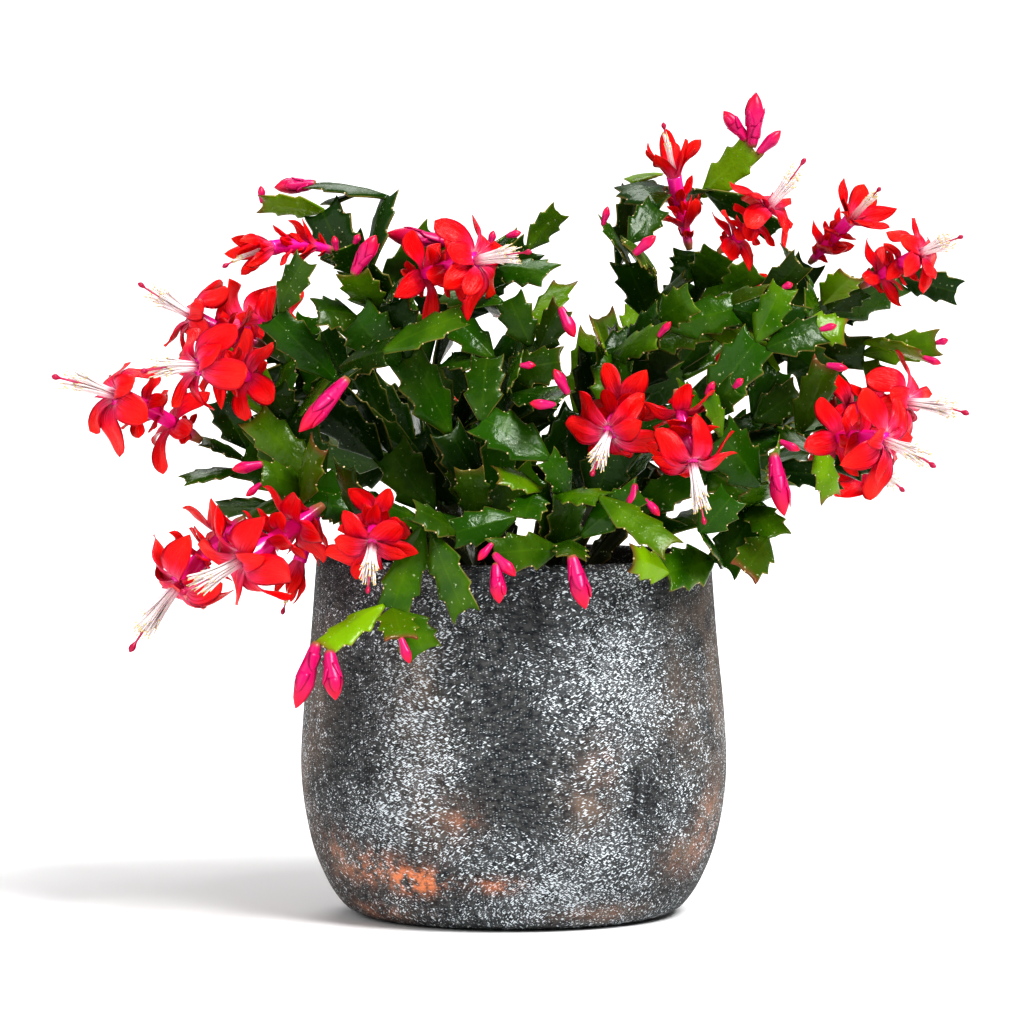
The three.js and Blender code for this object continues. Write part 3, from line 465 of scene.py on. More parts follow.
# Finer petals between those: the same values, for places with no petal of their own.
FILLING_TIERS = [
    (0, 6.0, (0.5, 2.5, 4.5), 9, 6, (22, 40), (30, 95)),
    (1, 13.5, (4,), 20, 10.5, (30, 58), (24, 115)),
    (2, 20.5, (0, 1, 2.5, 4), 13, 7.5, (24, 46), (28, 100)),
    (3, 27.5, (2.2, 3.4, 4.6), 17, 8.5, (24, 50), (28, 112)),
    (6, 43.0, (0.5, 1.6, 3.4), 21, 11, (10, 44), (8, 120)),
]


class Bloom:
    """A bloom's tube, which arches from its foot to the end of the style, and its petals."""

    def __init__(self, name):
        foot, end, self.open, self.rise = BLOOMS[name]
        self.name = name
        self.foot = seen(*foot)
        aim = seen(*end) - self.foot
        self.scale = clamp(size_of(aim) / BLOOM_LENGTH, 0.72, 1.05)
        self.aim = unit(aim)

    def at(self, s):
        """The point of the tube's middle line at s, out of BLOOM_LENGTH."""
        t = s / BLOOM_LENGTH
        return self.foot + self.aim * (s * self.scale) + UP * (self.rise * 4 * t * (1 - t))

    def heading(self, s):
        return unit(self.at(s + 1) - self.at(s - 1))

    def ring_axes(self, s):
        axis = self.heading(s)
        return Axes(axis, vec(0, -1, 0) if abs(axis[2]) > 0.9 else UP)

    def petals(self, tiers, seed):
        """The petals of some tiers, each with its own size and bend, on the tube's outside."""
        draw = draws_from(seed + ord(self.name) * PETAL_SEED_STEP)
        slim = self.scale * mix(0.55, 1, min(1, self.open * 1.5))
        petals = []
        for ring, s, patches, length, width, start, end in tiers:
            for patch in patches:
                petals.append(
                    {
                        "ring": ring,
                        "s": s,
                        "round": 360 * (patch + 0.5) / 5 + draw(-9, 9),
                        "length": length * self.scale * draw(0.88, 1.1),
                        "width": width * slim * draw(0.9, 1.1),
                        "leave": mix(*start, self.open) + draw(-5, 5),
                        "end": mix(*end, self.open) + draw(-12, 12),
                        "radius": (4.2 if ring >= MOUTH_RING else 2.9) * self.scale,
                        "curl": 0,
                    }
                )
        return petals

    def petal_line(self, petal, rows=PETAL_ROWS, folded=False):
        """Stations of a petal's centre line: place, heading, across and inner face."""
        axis = self.heading(petal["s"])
        ring = self.ring_axes(petal["s"])
        turn = math.radians(petal["round"])
        out = ring.normal * math.cos(turn) + ring.side * math.sin(turn)
        across = np.cross(axis, out)
        place = self.at(petal["s"]) + out * (petal["radius"] - 1.2)
        step = petal["length"] / rows
        stations = []
        for i in range(rows + 1):
            angle = bend_of(petal, i / rows, folded)
            heading = axis * math.cos(angle) + out * math.sin(angle)
            stations.append((place, heading, across, np.cross(heading, across)))
            half = bend_of(petal, (i + 0.5) / rows, folded)
            place = place + axis * (math.cos(half) * step) + out * (math.sin(half) * step)
        return stations

    def boxes(self):
        """Three boxes along the tube and its threads, and two along each petal."""
        axes = Axes(self.heading(25), SKEW)
        thin = 3.6 * self.scale
        boxes = [
            box_along(self.at(0.5), self.at(24), axes, thin, thin),
            box_along(self.at(24), self.at(46), axes, thin + 0.6, thin + 0.6),
            box_along(self.at(46), self.at(BLOOM_LENGTH), axes, thin, thin),
        ]
        for petal in self.petals(PETAL_TIERS, PETAL_SEED):
            line = self.petal_line(petal)
            stations = [line[0], line[PETAL_WIDEST], line[PETAL_ROWS]]
            for share, a, b in zip((0.46, 0.4), stations, stations[1:]):
                along, side = unit(b[0] - a[0]), a[2]
                sides = (side, along, np.cross(along, side))
                half = (petal["width"] * share, size_of(b[0] - a[0]) / 2, 1.2)
                boxes.append(Box(a[0] + (b[0] - a[0]) * 0.5, sides, half))
        return boxes


def bend_of(petal, t, folded):
    """The angle between petal and tube. A folded petal bends back early and then runs straight."""
    curl = petal["curl"] * t**3
    if folded:
        t = min(1, t / 0.6)
        t = t * t * (3 - 2 * t) * 0.8
    return math.radians(mix(petal["leave"], petal["end"], t) + curl)


# Stem joints

# The blunt end of a joint has three places for what grows there next: middle, left, right.
SLOT_ASIDE = {0: 0, 1: 0.53, -1: -0.53}
# Ways a joint may turn aside: tilt, the way of the tilt, and roll. The smallest come first,
# and roll counts for less than half as much as tilt.
TURNS = sorted(
    (
        (tilt, way, roll)
        for tilt in (0, 9, 18, 28, 38, 48)
        for way in ((0, 60, 120, 180, 240, 300) if tilt else (0,))
        for roll in (0, 25, -25, 50, -50, 80, -80)
    ),
    key=lambda p: p[0] + abs(p[2]) * 0.45,
)


class Bud:
    """A bud at the end of a joint, by its angle in the picture, its length and its lean."""

    def __init__(self, joint, angle, length, lean, slot):
        turn = math.radians(angle)
        self.aim = unit(vec(math.cos(turn), -lean, math.sin(turn)))
        self.foot = joint.slot_place(slot) + self.aim * 0.5
        self.length = length
        self.slot = slot
        self.radius = clamp(length * 0.2, 1.8, 4.4)

    def box(self):
        end = self.foot + self.aim * (self.length + 2)
        return box_along(self.foot + self.aim, end, Axes(self.aim, SKEW), self.radius, self.radius)


class Joint:
    """A flat joint of a stem, from its base along its axes. step counts from the root."""

    def __init__(self, base, axes, length, width, thick, stem, step):
        self.base, self.axes, self.length = base, axes, length
        self.width, self.thick, self.stem, self.step = width, thick, stem, step
        self.end = base + axes.along * length
        self.children, self.slots = [], {}
        self.closed, self.young, self.buds = False, False, []

    def slot_place(self, slot):
        return self.end + self.axes.side * (SLOT_ASIDE[slot] * self.width / 2)

    def slot_for(self, direction):
        """The free place at the end that suits a shoot in that direction best."""
        lean = direction @ self.axes.side
        side = 1 if lean > 0 else -1
        wanted = (side, 0, -side) if abs(lean) > 0.5 else (0, side, -side)
        return next(slot for slot in wanted if slot not in self.slots)

    def boxes(self):
        """A narrow box for the stalk and a wide one for the blade."""
        flat = self.thick / 2 + JOINT_ARCH * 0.7
        a, b, c = (self.base + self.axes.along * (self.length * t) for t in (0.02, 0.34, 1.02))
        return [
            box_along(a, b, self.axes, self.width * 0.3, flat, stalk=True),
            box_along(b, c, self.axes, self.width * 0.47, flat),
        ]

    def grow_buds(self, table):
        """Buds take the places at the end in the order in which they lean across it."""
        aims = []
        for angle, _, _ in table:
            turn = math.radians(angle)
            aims.append(vec(math.cos(turn), 0, math.sin(turn)) @ self.axes.side)
        order = sorted(range(len(table)), key=lambda i: aims[i])
        places = {0: (), 1: (0,), 2: (-1, 1), 3: (-1, 0, 1)}[len(table)]
        self.buds = [Bud(self, *table[i], slot) for i, slot in zip(order, places)]


def facing_at(place, draw):
    """Which way a joint's face looks: forwards in front, backwards behind, and a little up."""
    back = clamp((place[1] + 30) / 60, 0, 1)
    outward = clamp(place[0] / 220, -0.5, 0.5)
    return unit(vec(outward, mix(-1, 1, back), 0.55 + draw(-0.2, 0.2)))


def root_of(angle, radius):
    """Where a rooted stem leaves the soil, just above it."""
    turn = math.radians(angle)
    return vec(math.cos(turn) * radius, math.sin(turn) * radius, soil_at(radius) + 2)


def seat_depth(bloom, axes):
    """How far short of a bloom's foot its joint ends, so that the two lie GAP apart."""
    heading = bloom.heading(1)
    radius = TUBE[0][1] * bloom.scale
    lean, level = axes.along @ heading, abs(axes.side @ heading)
    beside = GAP + radius * math.sqrt(1 - lean * lean) + (HORN_REACH * level if lean < 0 else 0)
    return min(beside, (GAP + radius * level) / max(lean, 0.01))


class Plant:
    """Grows the whole plant. Afterwards, blooms and joints hold every piece in its place."""

    def __init__(self):
        self.joints = []
        self.standing = Standing()
        roots = [shoot for shoot in SHOOTS if "root" in shoot]
        self.roots = [root_of(*shoot["root"]) for shoot in roots]
        self.stem_of = {id(shoot): i for i, shoot in enumerate(roots)}
        for i, root in enumerate(self.roots):
            low = root - UP * ROOT_DEPTH
            axes = Axes(UP, vec(1, 0, 0))
            peg = box_along(low, root, axes, ROOT_RADIUS, ROOT_RADIUS)
            self.standing.add([peg], stem=i)
        self.blooms = {name: Bloom(name) for name in BLOOMS}
        for bloom in self.blooms.values():
            self.standing.add(bloom.boxes(), owner=bloom.name, stem="bloom")
        for i, shoot in enumerate(SHOOTS):
            self.grow(shoot, draws_from(SEED + SHOOT_SEED_STEP * i))
        self.fill(draws_from(SEED))

    def fill(self, draw):
        """Bare shoots towards drawn points of the two lobes, but not over the notch."""
        for i in range(FILL_TRIES):
            middle, half = LOBES[i % len(LOBES)]
            turn = math.radians(draw(*FILL_SECTOR))
            rise = draw(-0.75, 1)
            level = math.sqrt(1 - rise * rise)
            depth = draw(0.35, 1)
            way = (level * math.cos(turn), level * math.sin(turn), rise)
            point = vec(*(m + h * w * depth for m, h, w in zip(middle, half, way)))
            if point[2] > NOTCH[1] + NOTCH_SLOPE * abs(point[0] - NOTCH[0]):
                continue
            self.grow({"point": point}, draw)

    def crowding(self, joint, stem, parent, bloom):
        """2 if the joint meets another stem, a bloom or the pot, 1 its own stem, else 0."""
        worst = 0
        for box in joint.boxes() + [bud.box() for bud in joint.buds]:
            if joint.step > 0 and meets_pot(box):
                return 2
            which = []
            for k in self.standing.near(box):
                owner, above, other, stalk = self.standing.notes[k]
                if bloom and owner == bloom:
                    continue
                if parent is None and other == stem:
                    continue
                if box.stalk and parent and (owner is parent or (stalk and above is parent)):
                    continue
                which.append(k)
            for k in self.standing.met_by(box, np.array(which, int)):
                if self.standing.notes[k][2] != stem:
                    return 2
                worst = 1
        return worst

    def parent_for(self, tip):
        """Where an unrooted shoot grows from: near its tip, on the same side of the plant."""
        spread = tip - CROWN
        out = size_of(spread)
        best, least = None, DEAREST_SHOOT
        for joint in self.joints:
            if joint.closed or len(joint.children) >= len(SLOT_ASIDE):
                continue
            grown = joint.end - CROWN
            reach = size_of(grown)
            if reach > out + 5:
                continue
            aside = 1 - (grown @ spread) / (reach * out)
            if aside * reach > MOST_ASIDE:
                continue
            away = tip - joint.end
            distance = size_of(away)
            if distance < JOINT_SHORTEST:
                continue
            leaps = (tip[0] - NOTCH[0]) * (joint.end[0] - NOTCH[0]) < 0
            if leaps and (distance > NOTCH_LEAP or joint.end[2] > NOTCH[1] - 15):
                continue
            turn = 1 - (away @ joint.axes.along) / distance
            cost = distance + COST_OF_TURN * turn + COST_OF_CHILD * len(joint.children)
            cost += COST_OF_ASIDE * aside
            if cost < least:
                least, best = cost, joint
        return best

    def next_joint(self, base, parent, goal, stem, facing, roll, width, thick, step, bloom, buds):
        """The next joint towards goal, turned aside as little as is needed to stand clear."""
        away = goal - base
        span = size_of(away)
        if not bloom:
            span = clamp(span, JOINT_SHORTEST, JOINT_LONGEST)
        straight = unit(away)
        least, best = 3, None
        for tilt, way, lean in TURNS:
            if bloom and tilt > 0:
                continue
            hinge = Axes(straight, facing, math.radians(way)).normal
            along = turned(straight, hinge, math.radians(tilt))
            axes = Axes(along, facing, math.radians(roll + lean))
            length = span - (seat_depth(bloom, axes) if bloom else 0)
            joint = Joint(base, axes, length, width, thick, stem, step)
            joint.grow_buds(buds)
            room = self.crowding(joint, stem, parent, bloom and bloom.name)
            if room < least:
                least, best = room, joint
            if room == 0:
                break
        return (best, least)

    def grow(self, shoot, draw):
        """Lays the joints of a shoot one by one along a curve to its tip, while there is room."""
        line = self.blooms[shoot["bloom"]] if "bloom" in shoot else None
        if line:
            tip = line.at(0)
        else:
            tip = shoot["point"] if "point" in shoot else seen(*shoot["tip"])
        rooted, hang = "root" in shoot, "hang" in shoot
        if rooted:
            stem, parent, slot = self.stem_of[id(shoot)], None, 0
            base = self.roots[stem]
            heading = unit(unit(vec(base[0], base[1], 0)) + UP * ROOT_RISE)
        else:
            parent = self.parent_for(tip)
            if parent is None:
                return
            slot = parent.slot_for(unit(tip - parent.end))
            base, heading, stem = parent.slot_place(slot), parent.axes.along, parent.stem
        span = size_of(tip - base)
        count = max(1, math.floor(span * ROUNDABOUT / JOINT_PITCH + 0.5))
        droop, leave, near_tip = HANGING_SHOOT if hang else STANDING_SHOOT
        if hang and rooted:
            leave = ROOTED_LEAVE
        arrive = line.heading(1) if line else unit(unit(tip - CROWN) - UP * droop)
        leave_by = base + heading * (span * leave)
        arrive_by = tip - arrive * (span * near_tip)
        corners = (base, leave_by, arrive_by, tip)
        for step in range(count):
            last = step == count - 1
            foot = rooted and step == 0
            share = YOUNG_SHARE if last and not foot else 1
            facing = facing_at(base, draw)
            roll = draw(-MOST_ROLL, MOST_ROLL)
            width = JOINT_WIDTH * draw(*WIDTH_SPREAD) * share * (FOOT_WIDTH if foot else 1)
            thick = JOINT_THICK * share * (FOOT_THICK if foot else 1)
            t = 1 if last else (step + 1) / (count - 1 + YOUNG_SHARE)
            k = 1 - t
            shares = (k * k * k, 3 * k * k * t, 3 * k * t * t, t * t * t)
            goal = sum(c * s for c, s in zip(corners, shares))
            joint, room = self.next_joint(
                base, parent, goal, stem, facing, roll, width, thick,
                step if rooted else 1, line if last else None, shoot.get("buds", []) if last else [],
            )
            if room > (1 if line else 0):
                if line:
                    raise RuntimeError(f"no way to bloom {line.name}")
                return
            joint.closed = last and bool(line or "buds" in shoot)
            joint.young = last and not line
            for bud in joint.buds:
                joint.slots[bud.slot] = bud
            if parent:
                parent.children.append(joint)
                parent.slots[slot] = joint
            self.joints.append(joint)
            boxes = joint.boxes() + [bud.box() for bud in joint.buds]
            self.standing.add(boxes, owner=joint, parent=parent, stem=stem)
            base, parent, slot = joint.end, joint, 0


# The one plant that all the operators below dress
plant = Plant()


# Skins: rings of points joined into closed bodies, with values painted on the points


class Skin:
    """The mesh of a piece in the making, in millimetres. An ink is the number of a finish."""

    def __init__(self, *paints):
        self.points, self.faces, self.inks = [], [], []
        self.paints = {name: [] for name in paints}
        self.count = 0

    def loft(self, rings, ink=0, **painted):
        """A closed body over rings of points, counted the same way round."""
        rings = np.asarray(rings)
        rows, across = rings.shape[:2]
        grid = np.arange(rows * across).reshape(rows, across) + self.count
        after = np.roll(grid, -1, axis=1)
        quads = np.stack([grid[:-1], after[:-1], after[1:], grid[1:]], axis=-1).reshape(-1, 4)
        self.faces += quads.tolist()
        self.faces += [grid[0, ::-1].tolist(), grid[-1].tolist()]
        self.inks += [ink] * (len(quads) + 2)
        self.points.append(rings.reshape(-1, 3))
        self.count += rows * across
        for name, kept in self.paints.items():
            value = np.broadcast_to(painted.get(name, 0.0), (rows, across))
            kept.append(value.reshape(-1))

    def piece(self, name, finishes, slot, *nodes):
        """Makes the skin a piece of the scene that stands for its solids."""
        mesh = bpy.data.meshes.new(name)
        mesh.from_pydata((np.vstack(self.points) * MM).tolist(), [], self.faces)
        mesh.polygons.foreach_set("use_smooth", np.ones(len(self.faces), bool))
        mesh.polygons.foreach_set("material_index", np.array(self.inks, np.int32))
        for paint, kept in self.paints.items():
            layer = mesh.attributes.new(paint, "FLOAT", "POINT")
            layer.data.foreach_set("value", np.concatenate(kept).astype(np.float32))
        for finish in finishes:
            mesh.materials.append(finish)
        mesh.validate()
        mesh.update()
        thing = bpy.data.objects.new(name, mesh)
        bpy.context.scene.collection.objects.link(thing)
        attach(thing, "root")
        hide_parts(*nodes)
        return thing


def ring_round(middle, axes, radius, sides):
    """A ring of points about a middle, square to the axes' along."""
    turn = np.linspace(0, 2 * np.pi, sides, endpoint=False)
    up, side = radius * np.cos(turn), radius * np.sin(turn)
    return middle + np.outer(up, axes.normal) + np.outer(side, axes.side)


def thread(start, bend, end, radius, sides, rows):
    """Rings along a curve that leaves start towards bend and arrives at end."""
    rings = []
    for t in np.linspace(0, 1, rows):
        k = 1 - t
        place = start * (k * k) + bend * (2 * k * t) + end * (t * t)
        heading = unit((bend - start) * k + (end - bend) * t + (end - start) * 1e-4)
        rings.append(ring_round(place, Axes(heading, SKEW), radius * (1 - 0.35 * t), sides))
    return rings


# Skins of the stems and their buds

# One side of a joint's edge as shares of half its width and of its length, with the place
# along the rib that each row across the joint starts from.
JOINT_EDGE = [
    (0.15, -0.02, -0.02), (0.24, 0.02, 0.02), (0.4, 0.1, 0.08), (0.6, 0.2, 0.17),
    (0.79, 0.29, 0.25), (0.92, 0.355, 0.315), (1.0, 0.405, 0.36), (0.93, 0.425, 0.395),
    (0.82, 0.447, 0.43), (0.775, 0.475, 0.465), (0.81, 0.54, 0.52), (0.88, 0.61, 0.58),
    (0.96, 0.675, 0.635), (1.03, 0.735, 0.69), (0.95, 0.753, 0.735), (0.83, 0.77, 0.77),
    (0.77, 0.8, 0.8), (0.785, 0.87, 0.845), (0.81, 0.95, 0.88), (0.825, 1.03, 0.91),
    (0.8, 1.09, 0.935), (0.69, 1.055, 0.955), (0.55, 1.018, 0.972), (0.4, 0.997, 0.985),
    (0.22, 0.993, 0.99), (0.08, 0.995, 0.994),
]
JOINT_LANES = (0, 0.09, 0.22, 0.45, 0.72, 0.92, 1)
TUFT_ROWS = (9, 16)  # rows of JOINT_EDGE in whose notch a tuft of bristles sits
WOODY_TONE = -0.4  # the tone of the old wood by the soil
# Places along a bud and its radius there, as shares of its length and widest radius.
BUD_OUTLINE = (0, 0.1, 0.3, 0.62, 0.84, 0.95, 1), (0.42, 0.6, 0.72, 1, 0.68, 0.3, 0.06)
BUD_SIDES = 14
BUD_WITH_SCALES = 16  # the length from which a bud shows its scales
SCALE_TURN = 2.4  # how far round each scale stands from the one below, in radians


def joint_grid():
    """Shares across, along, the edge's share of each lane, and which face, by row and lane."""
    lanes = np.array(JOINT_LANES)
    share = np.concatenate([-lanes[:0:-1], lanes, lanes[-2:0:-1], -lanes[:-1]])
    face = np.concatenate([np.ones(len(lanes) * 2 - 1), -np.ones(len(lanes) * 2 - 3)])
    edge = np.array(JOINT_EDGE)
    x = edge[:, :1] * share
    y = edge[:, 2:] + (edge[:, 1:2] - edge[:, 2:]) * np.abs(share) ** 1.4
    return x, y, np.broadcast_to(share, x.shape), np.broadcast_to(face, x.shape)


GRID_X, GRID_Y, GRID_SHARE, GRID_FACE = joint_grid()


def joint_points(joint, draw, rib):
    """Gives a function that places a point of the joint by its shares, and its skin's points."""
    wave = draw(-1, 1), draw(0, FULL_TURN), draw(-0.5, 0.5)
    fold = draw(-0.8, 1.6)
    width = joint.width * 1.02

    def place(x, y, z):
        bow = JOINT_ARCH * 4 * y * (1 - y) - JOINT_ARCH * x * x
        curl = 0.5 * wave[0] * np.abs(x) ** 2 * np.sin(5 * y + wave[1] + np.sign(x) * wave[2])
        lift = bow + curl + fold * np.abs(x) ** 1.3 + z
        point = joint.base + np.multiply.outer(joint.length * y, joint.axes.along)
        point = point + np.multiply.outer(width / 2 * x, joint.axes.side)
        return point + np.multiply.outer(lift, joint.axes.normal)

    full = np.sqrt(np.clip(1 - np.abs(GRID_SHARE) ** 2.4, 0, 1))
    end = np.clip((1.02 - GRID_Y) / 0.16, 0, 1) * np.clip((GRID_Y + 0.2) / 0.3, 0, 1)
    thick = joint.thick * 0.46 * full * (0.35 + 0.65 * end)
    ridge = rib * np.exp(-((GRID_X * width / 2 / 0.9) ** 2)) * np.clip(1.05 - GRID_Y, 0, 1)
    return place, place(GRID_X, GRID_Y, GRID_FACE * (thick + ridge))


class CACTUS_OT_stems(Operator):
    """Make the rooted stems with their toothed joints and their buds"""

    bl_idname = "cactus.make_stems"
    bl_label = "Stems and buds"

    def execute(self, context):
        look = context.scene.cactus_stems
        finishes = [stem_finish(look), bristle_finish(), bud_finish(context.scene.cactus_blooms)]
        for i, root in enumerate(plant.roots):
            draw = draws_from(STEM_SEED + STEM_SEED_STEP * i)
            skin = Skin("tone", "along", "rim", "seed")
            low = root - UP * ROOT_DEPTH
            axes = Axes(UP, vec(1, 0, 0))
            peg = ((0, 0.8), (0.5, 1), (ROOT_DEPTH + 0.5, 1))
            rings = [ring_round(low + UP * h, axes, ROOT_RADIUS * k, 10) for h, k in peg]
            skin.loft(rings, tone=WOODY_TONE, rim=0.5)
            for joint in plant.joints:
                if joint.stem == i:
                    self.add_joint(skin, joint, draw, look)
            skin.piece(f"branch_{i + 1:02d}", finishes, "stem_green", f"stem_{i + 1:02d}")
        return {"FINISHED"}

    def add_joint(self, skin, joint, draw, look):
        place, points = joint_points(joint, draw, look.rib_height / MM)
        bare_tip = joint.young and not joint.children
        # Bare tips are young and pale, each by a different amount. The wood at the foot is dull.
        tone = mix(0.12, 1, draw(0, 1) ** 2) if bare_tip else draw(0, 0.35)
        if joint.step == 0 and joint.width < JOINT_WIDTH * 0.7:
            tone = WOODY_TONE
        skin.loft(points, tone=tone, along=GRID_Y, rim=np.abs(GRID_SHARE), seed=draw(0, 1))
        for row in TUFT_ROWS:
            x, y, _ = JOINT_EDGE[row]
            for side in (-1, 1):
                spot = place(np.array(side * (x - 0.01)), np.array(y), np.array(0.0))
                self.add_tuft(skin, spot, joint.axes, draw)
        if bare_tip:
            tip = place(np.array(0.0), np.array(0.995), np.array(0.0))
            self.add_tuft(skin, tip, joint.axes, draw)
        for bud in joint.buds:
            self.add_bud(skin, bud, draw)

    def add_tuft(self, skin, spot, axes, draw):
        """A tuft of short bristles, as one small knob."""
        size = draw(0.35, 0.6)
        rows = ((-0.9, 0.35), (-0.4, 0.9), (0.4, 0.9), (0.9, 0.35))
        flat = Axes(axes.normal, axes.along)
        rings = [ring_round(spot + axes.normal * (size * h), flat, size * r, 5) for h, r in rows]
        skin.loft(rings, ink=1)

    def add_bud(self, skin, bud, draw):
        """A bud, and from BUD_WITH_SCALES on also the scales that wrap it."""
        axes = Axes(bud.aim, SKEW)
        phase = draw(0, FULL_TURN)
        along = np.linspace(0, 1, 15)
        turn = np.linspace(0, 2 * np.pi, BUD_SIDES, endpoint=False)
        swell = np.interp(along, *BUD_OUTLINE)
        rings = []
        for t, r in zip(along, swell):
            lobes = 1 + 0.09 * np.cos(3 * turn + phase + 5.5 * t) * np.sin(np.pi * t)
            middle = bud.foot + bud.aim * (bud.length * t - 0.8)
            rings.append(ring_round(middle, axes, bud.radius * r * lobes, BUD_SIDES))
        skin.loft(rings, ink=2, along=along[:, None], seed=draw(0, 1))
        if bud.length < BUD_WITH_SCALES:
            return
        for k in range(5):
            self.add_scale(skin, bud, axes, 0.14 + 0.1 * k, phase + SCALE_TURN * k, draw)

    def add_scale(self, skin, bud, axes, start, turn, draw):
        """A pointed scale that starts at a share of the bud's length and hugs it."""
        out = axes.normal * math.cos(turn) + axes.side * math.sin(turn)
        across = np.cross(bud.aim, out)
        face = -out
        length, width = bud.length * draw(0.26, 0.34), bud.radius * 0.85
        rings = []
        for t in np.linspace(0, 1, 7):
            wide = width * (1 - t) ** 0.6 * (0.8 + 0.5 * t) + 0.05
            hug = np.interp(start + length * t / bud.length, *BUD_OUTLINE)
            lift = bud.radius * hug + 0.1 + 0.35 * t
            middle = bud.foot + bud.aim * (bud.length * start + length * t) + out * lift
            rings.append(blade_ring(middle, across, face, wide, 0.25, 0.35))
        skin.loft(rings, ink=2, along=np.linspace(start, start + 0.3, 7)[:, None], seed=draw(0, 1))


def blade_ring(middle, across, face, half, thick, cup, lanes=5):
    """A ring round a thin cupped blade: across its inner face and back under it."""
    share = np.linspace(1, -1, lanes)
    share = np.concatenate([share, -share[1:-1]])
    side = np.concatenate([np.ones(lanes), -np.ones(lanes - 2)])
    lift = cup * half * share**2 + side * thick * 0.5 * np.sqrt(1 - share**2 * 0.96)
    return middle + np.outer(share * half, across) + np.outer(lift, face)


# Skins of the blooms

TUBE_SIDES = 20
PETAL_LANES = 9
PETAL_STATIONS = 15
# Half widths along a petal, as shares: of a blunt one and of a pointed one.
PETAL_SHARES = (0, 0.1, 0.22, 0.36, 0.5, 0.63, 0.75, 0.85, 0.92, 0.965, 1)
BLUNT_PETAL = (0.4, 0.54, 0.7, 0.86, 0.96, 1, 0.98, 0.86, 0.64, 0.36, 0.04)
POINTED_PETAL = (0.45, 0.62, 0.82, 0.97, 1, 0.92, 0.74, 0.5, 0.3, 0.15, 0.03)
STAMEN_ROWS = 6
STAMEN_TURN = 2.39996  # how far round each stamen stands from the last, in radians
STYLE_SIDES = 10


class CACTUS_OT_blooms(Operator):
    """Make the tubes and petals of the blooms"""

    bl_idname = "cactus.make_blooms"
    bl_label = "Blooms"

    def execute(self, context):
        look = context.scene.cactus_blooms
        finishes = [petal_finish(look), tube_finish(look)]
        for bloom in plant.blooms.values():
            skin = Skin("along", "rim", "share", "seed", "inner", "throat")
            draw = draws_from(BLOOM_SEED + ord(bloom.name) * BLOOM_SEED_STEP)
            self.add_tube(skin, bloom)
            own = bloom.petals(PETAL_TIERS, PETAL_SEED)
            filling = bloom.petals(FILLING_TIERS, FILLING_SEED)
            for petal in own + filling:
                self.add_petal(skin, bloom, petal, look.petal_thickness / MM, draw)
            skin.piece(f"flower_{bloom.name}", finishes, "petal_red", f"bloom_{bloom.name}")
        return {"FINISHED"}

    def add_tube(self, skin, bloom):
        """The tube, swollen near its foot where the ovary is, with five low ridges."""
        where = np.linspace(0.05, TUBE_MOUTH - 0.1, 34)
        turn = np.linspace(0, 2 * np.pi, TUBE_SIDES, endpoint=False)
        radius = np.interp(where, *zip(*TUBE))
        radius = radius + 0.9 * np.exp(-(((where - 4.5) / 2.6) ** 2)) * 0.6
        rings = []
        for s, r in zip(where, radius):
            ridged = r * bloom.scale * (1 + 0.05 * np.cos(5 * turn + s * 0.05))
            rings.append(ring_round(bloom.at(s), bloom.ring_axes(s), ridged, TUBE_SIDES))
        skin.loft(rings, ink=1, along=(where / TUBE_MOUTH)[:, None])

    def add_petal(self, skin, bloom, petal, thick, draw):
        """A petal whose foot wraps the tube and whose margins roll back beyond the bend."""
        rows = PETAL_STATIONS - 1
        petal["curl"] = draw(-55, 25)
        petal["end"] += draw(-10, 22)
        line = bloom.petal_line(petal, rows, folded=True)
        cup, roll, wave, bend = draw(0.2, 0.5), draw(-0.55, 0.1), draw(0, FULL_TURN), draw(-3.5, 3.5)
        twist, crease = draw(-0.6, 0.6), draw(0.35, 0.8)
        half = petal["width"] / 2 * draw(1, 1.22)
        outline = mix(np.array(BLUNT_PETAL), np.array(POINTED_PETAL), draw(0, 1))
        share = np.linspace(1, -1, PETAL_LANES)
        share = np.concatenate([share, -share[1:-1]])
        rings = []
        for i, (place, heading, across, face) in enumerate(line):
            t = i / rows
            lean = twist * t + math.sin(t * 5 + wave) * 0.22
            side = unit(across + face * lean)
            place = place + across * (bend * t * t)
            up = np.cross(heading, side)
            wide = half * np.interp(t, PETAL_SHARES, outline)
            depth = thick * (1.5 - 0.9 * t)
            ring = blade_ring(place, side, up, wide, depth, mix(cup, roll, t), PETAL_LANES)
            folds = crease * np.cos(share * 4.7 + wave) * math.sin(math.pi * min(1, t * 1.1))
            ruffle = 0.6 * np.sin(8 * t + 3 * share + wave) * np.abs(share) ** 3 * math.sin(math.pi * t)
            rings.append(ring + np.outer(folds + ruffle, up))
        painted = {
            "along": (np.arange(PETAL_STATIONS) / rows)[:, None],
            "rim": np.abs(share),
            "share": share,
            "seed": draw(0, 1),
            "inner": np.concatenate([np.ones(PETAL_LANES), np.zeros(PETAL_LANES - 2)]),
            "throat": 1.0 if petal["ring"] >= MOUTH_RING else 0.0,
        }
        skin.loft(rings, **painted)


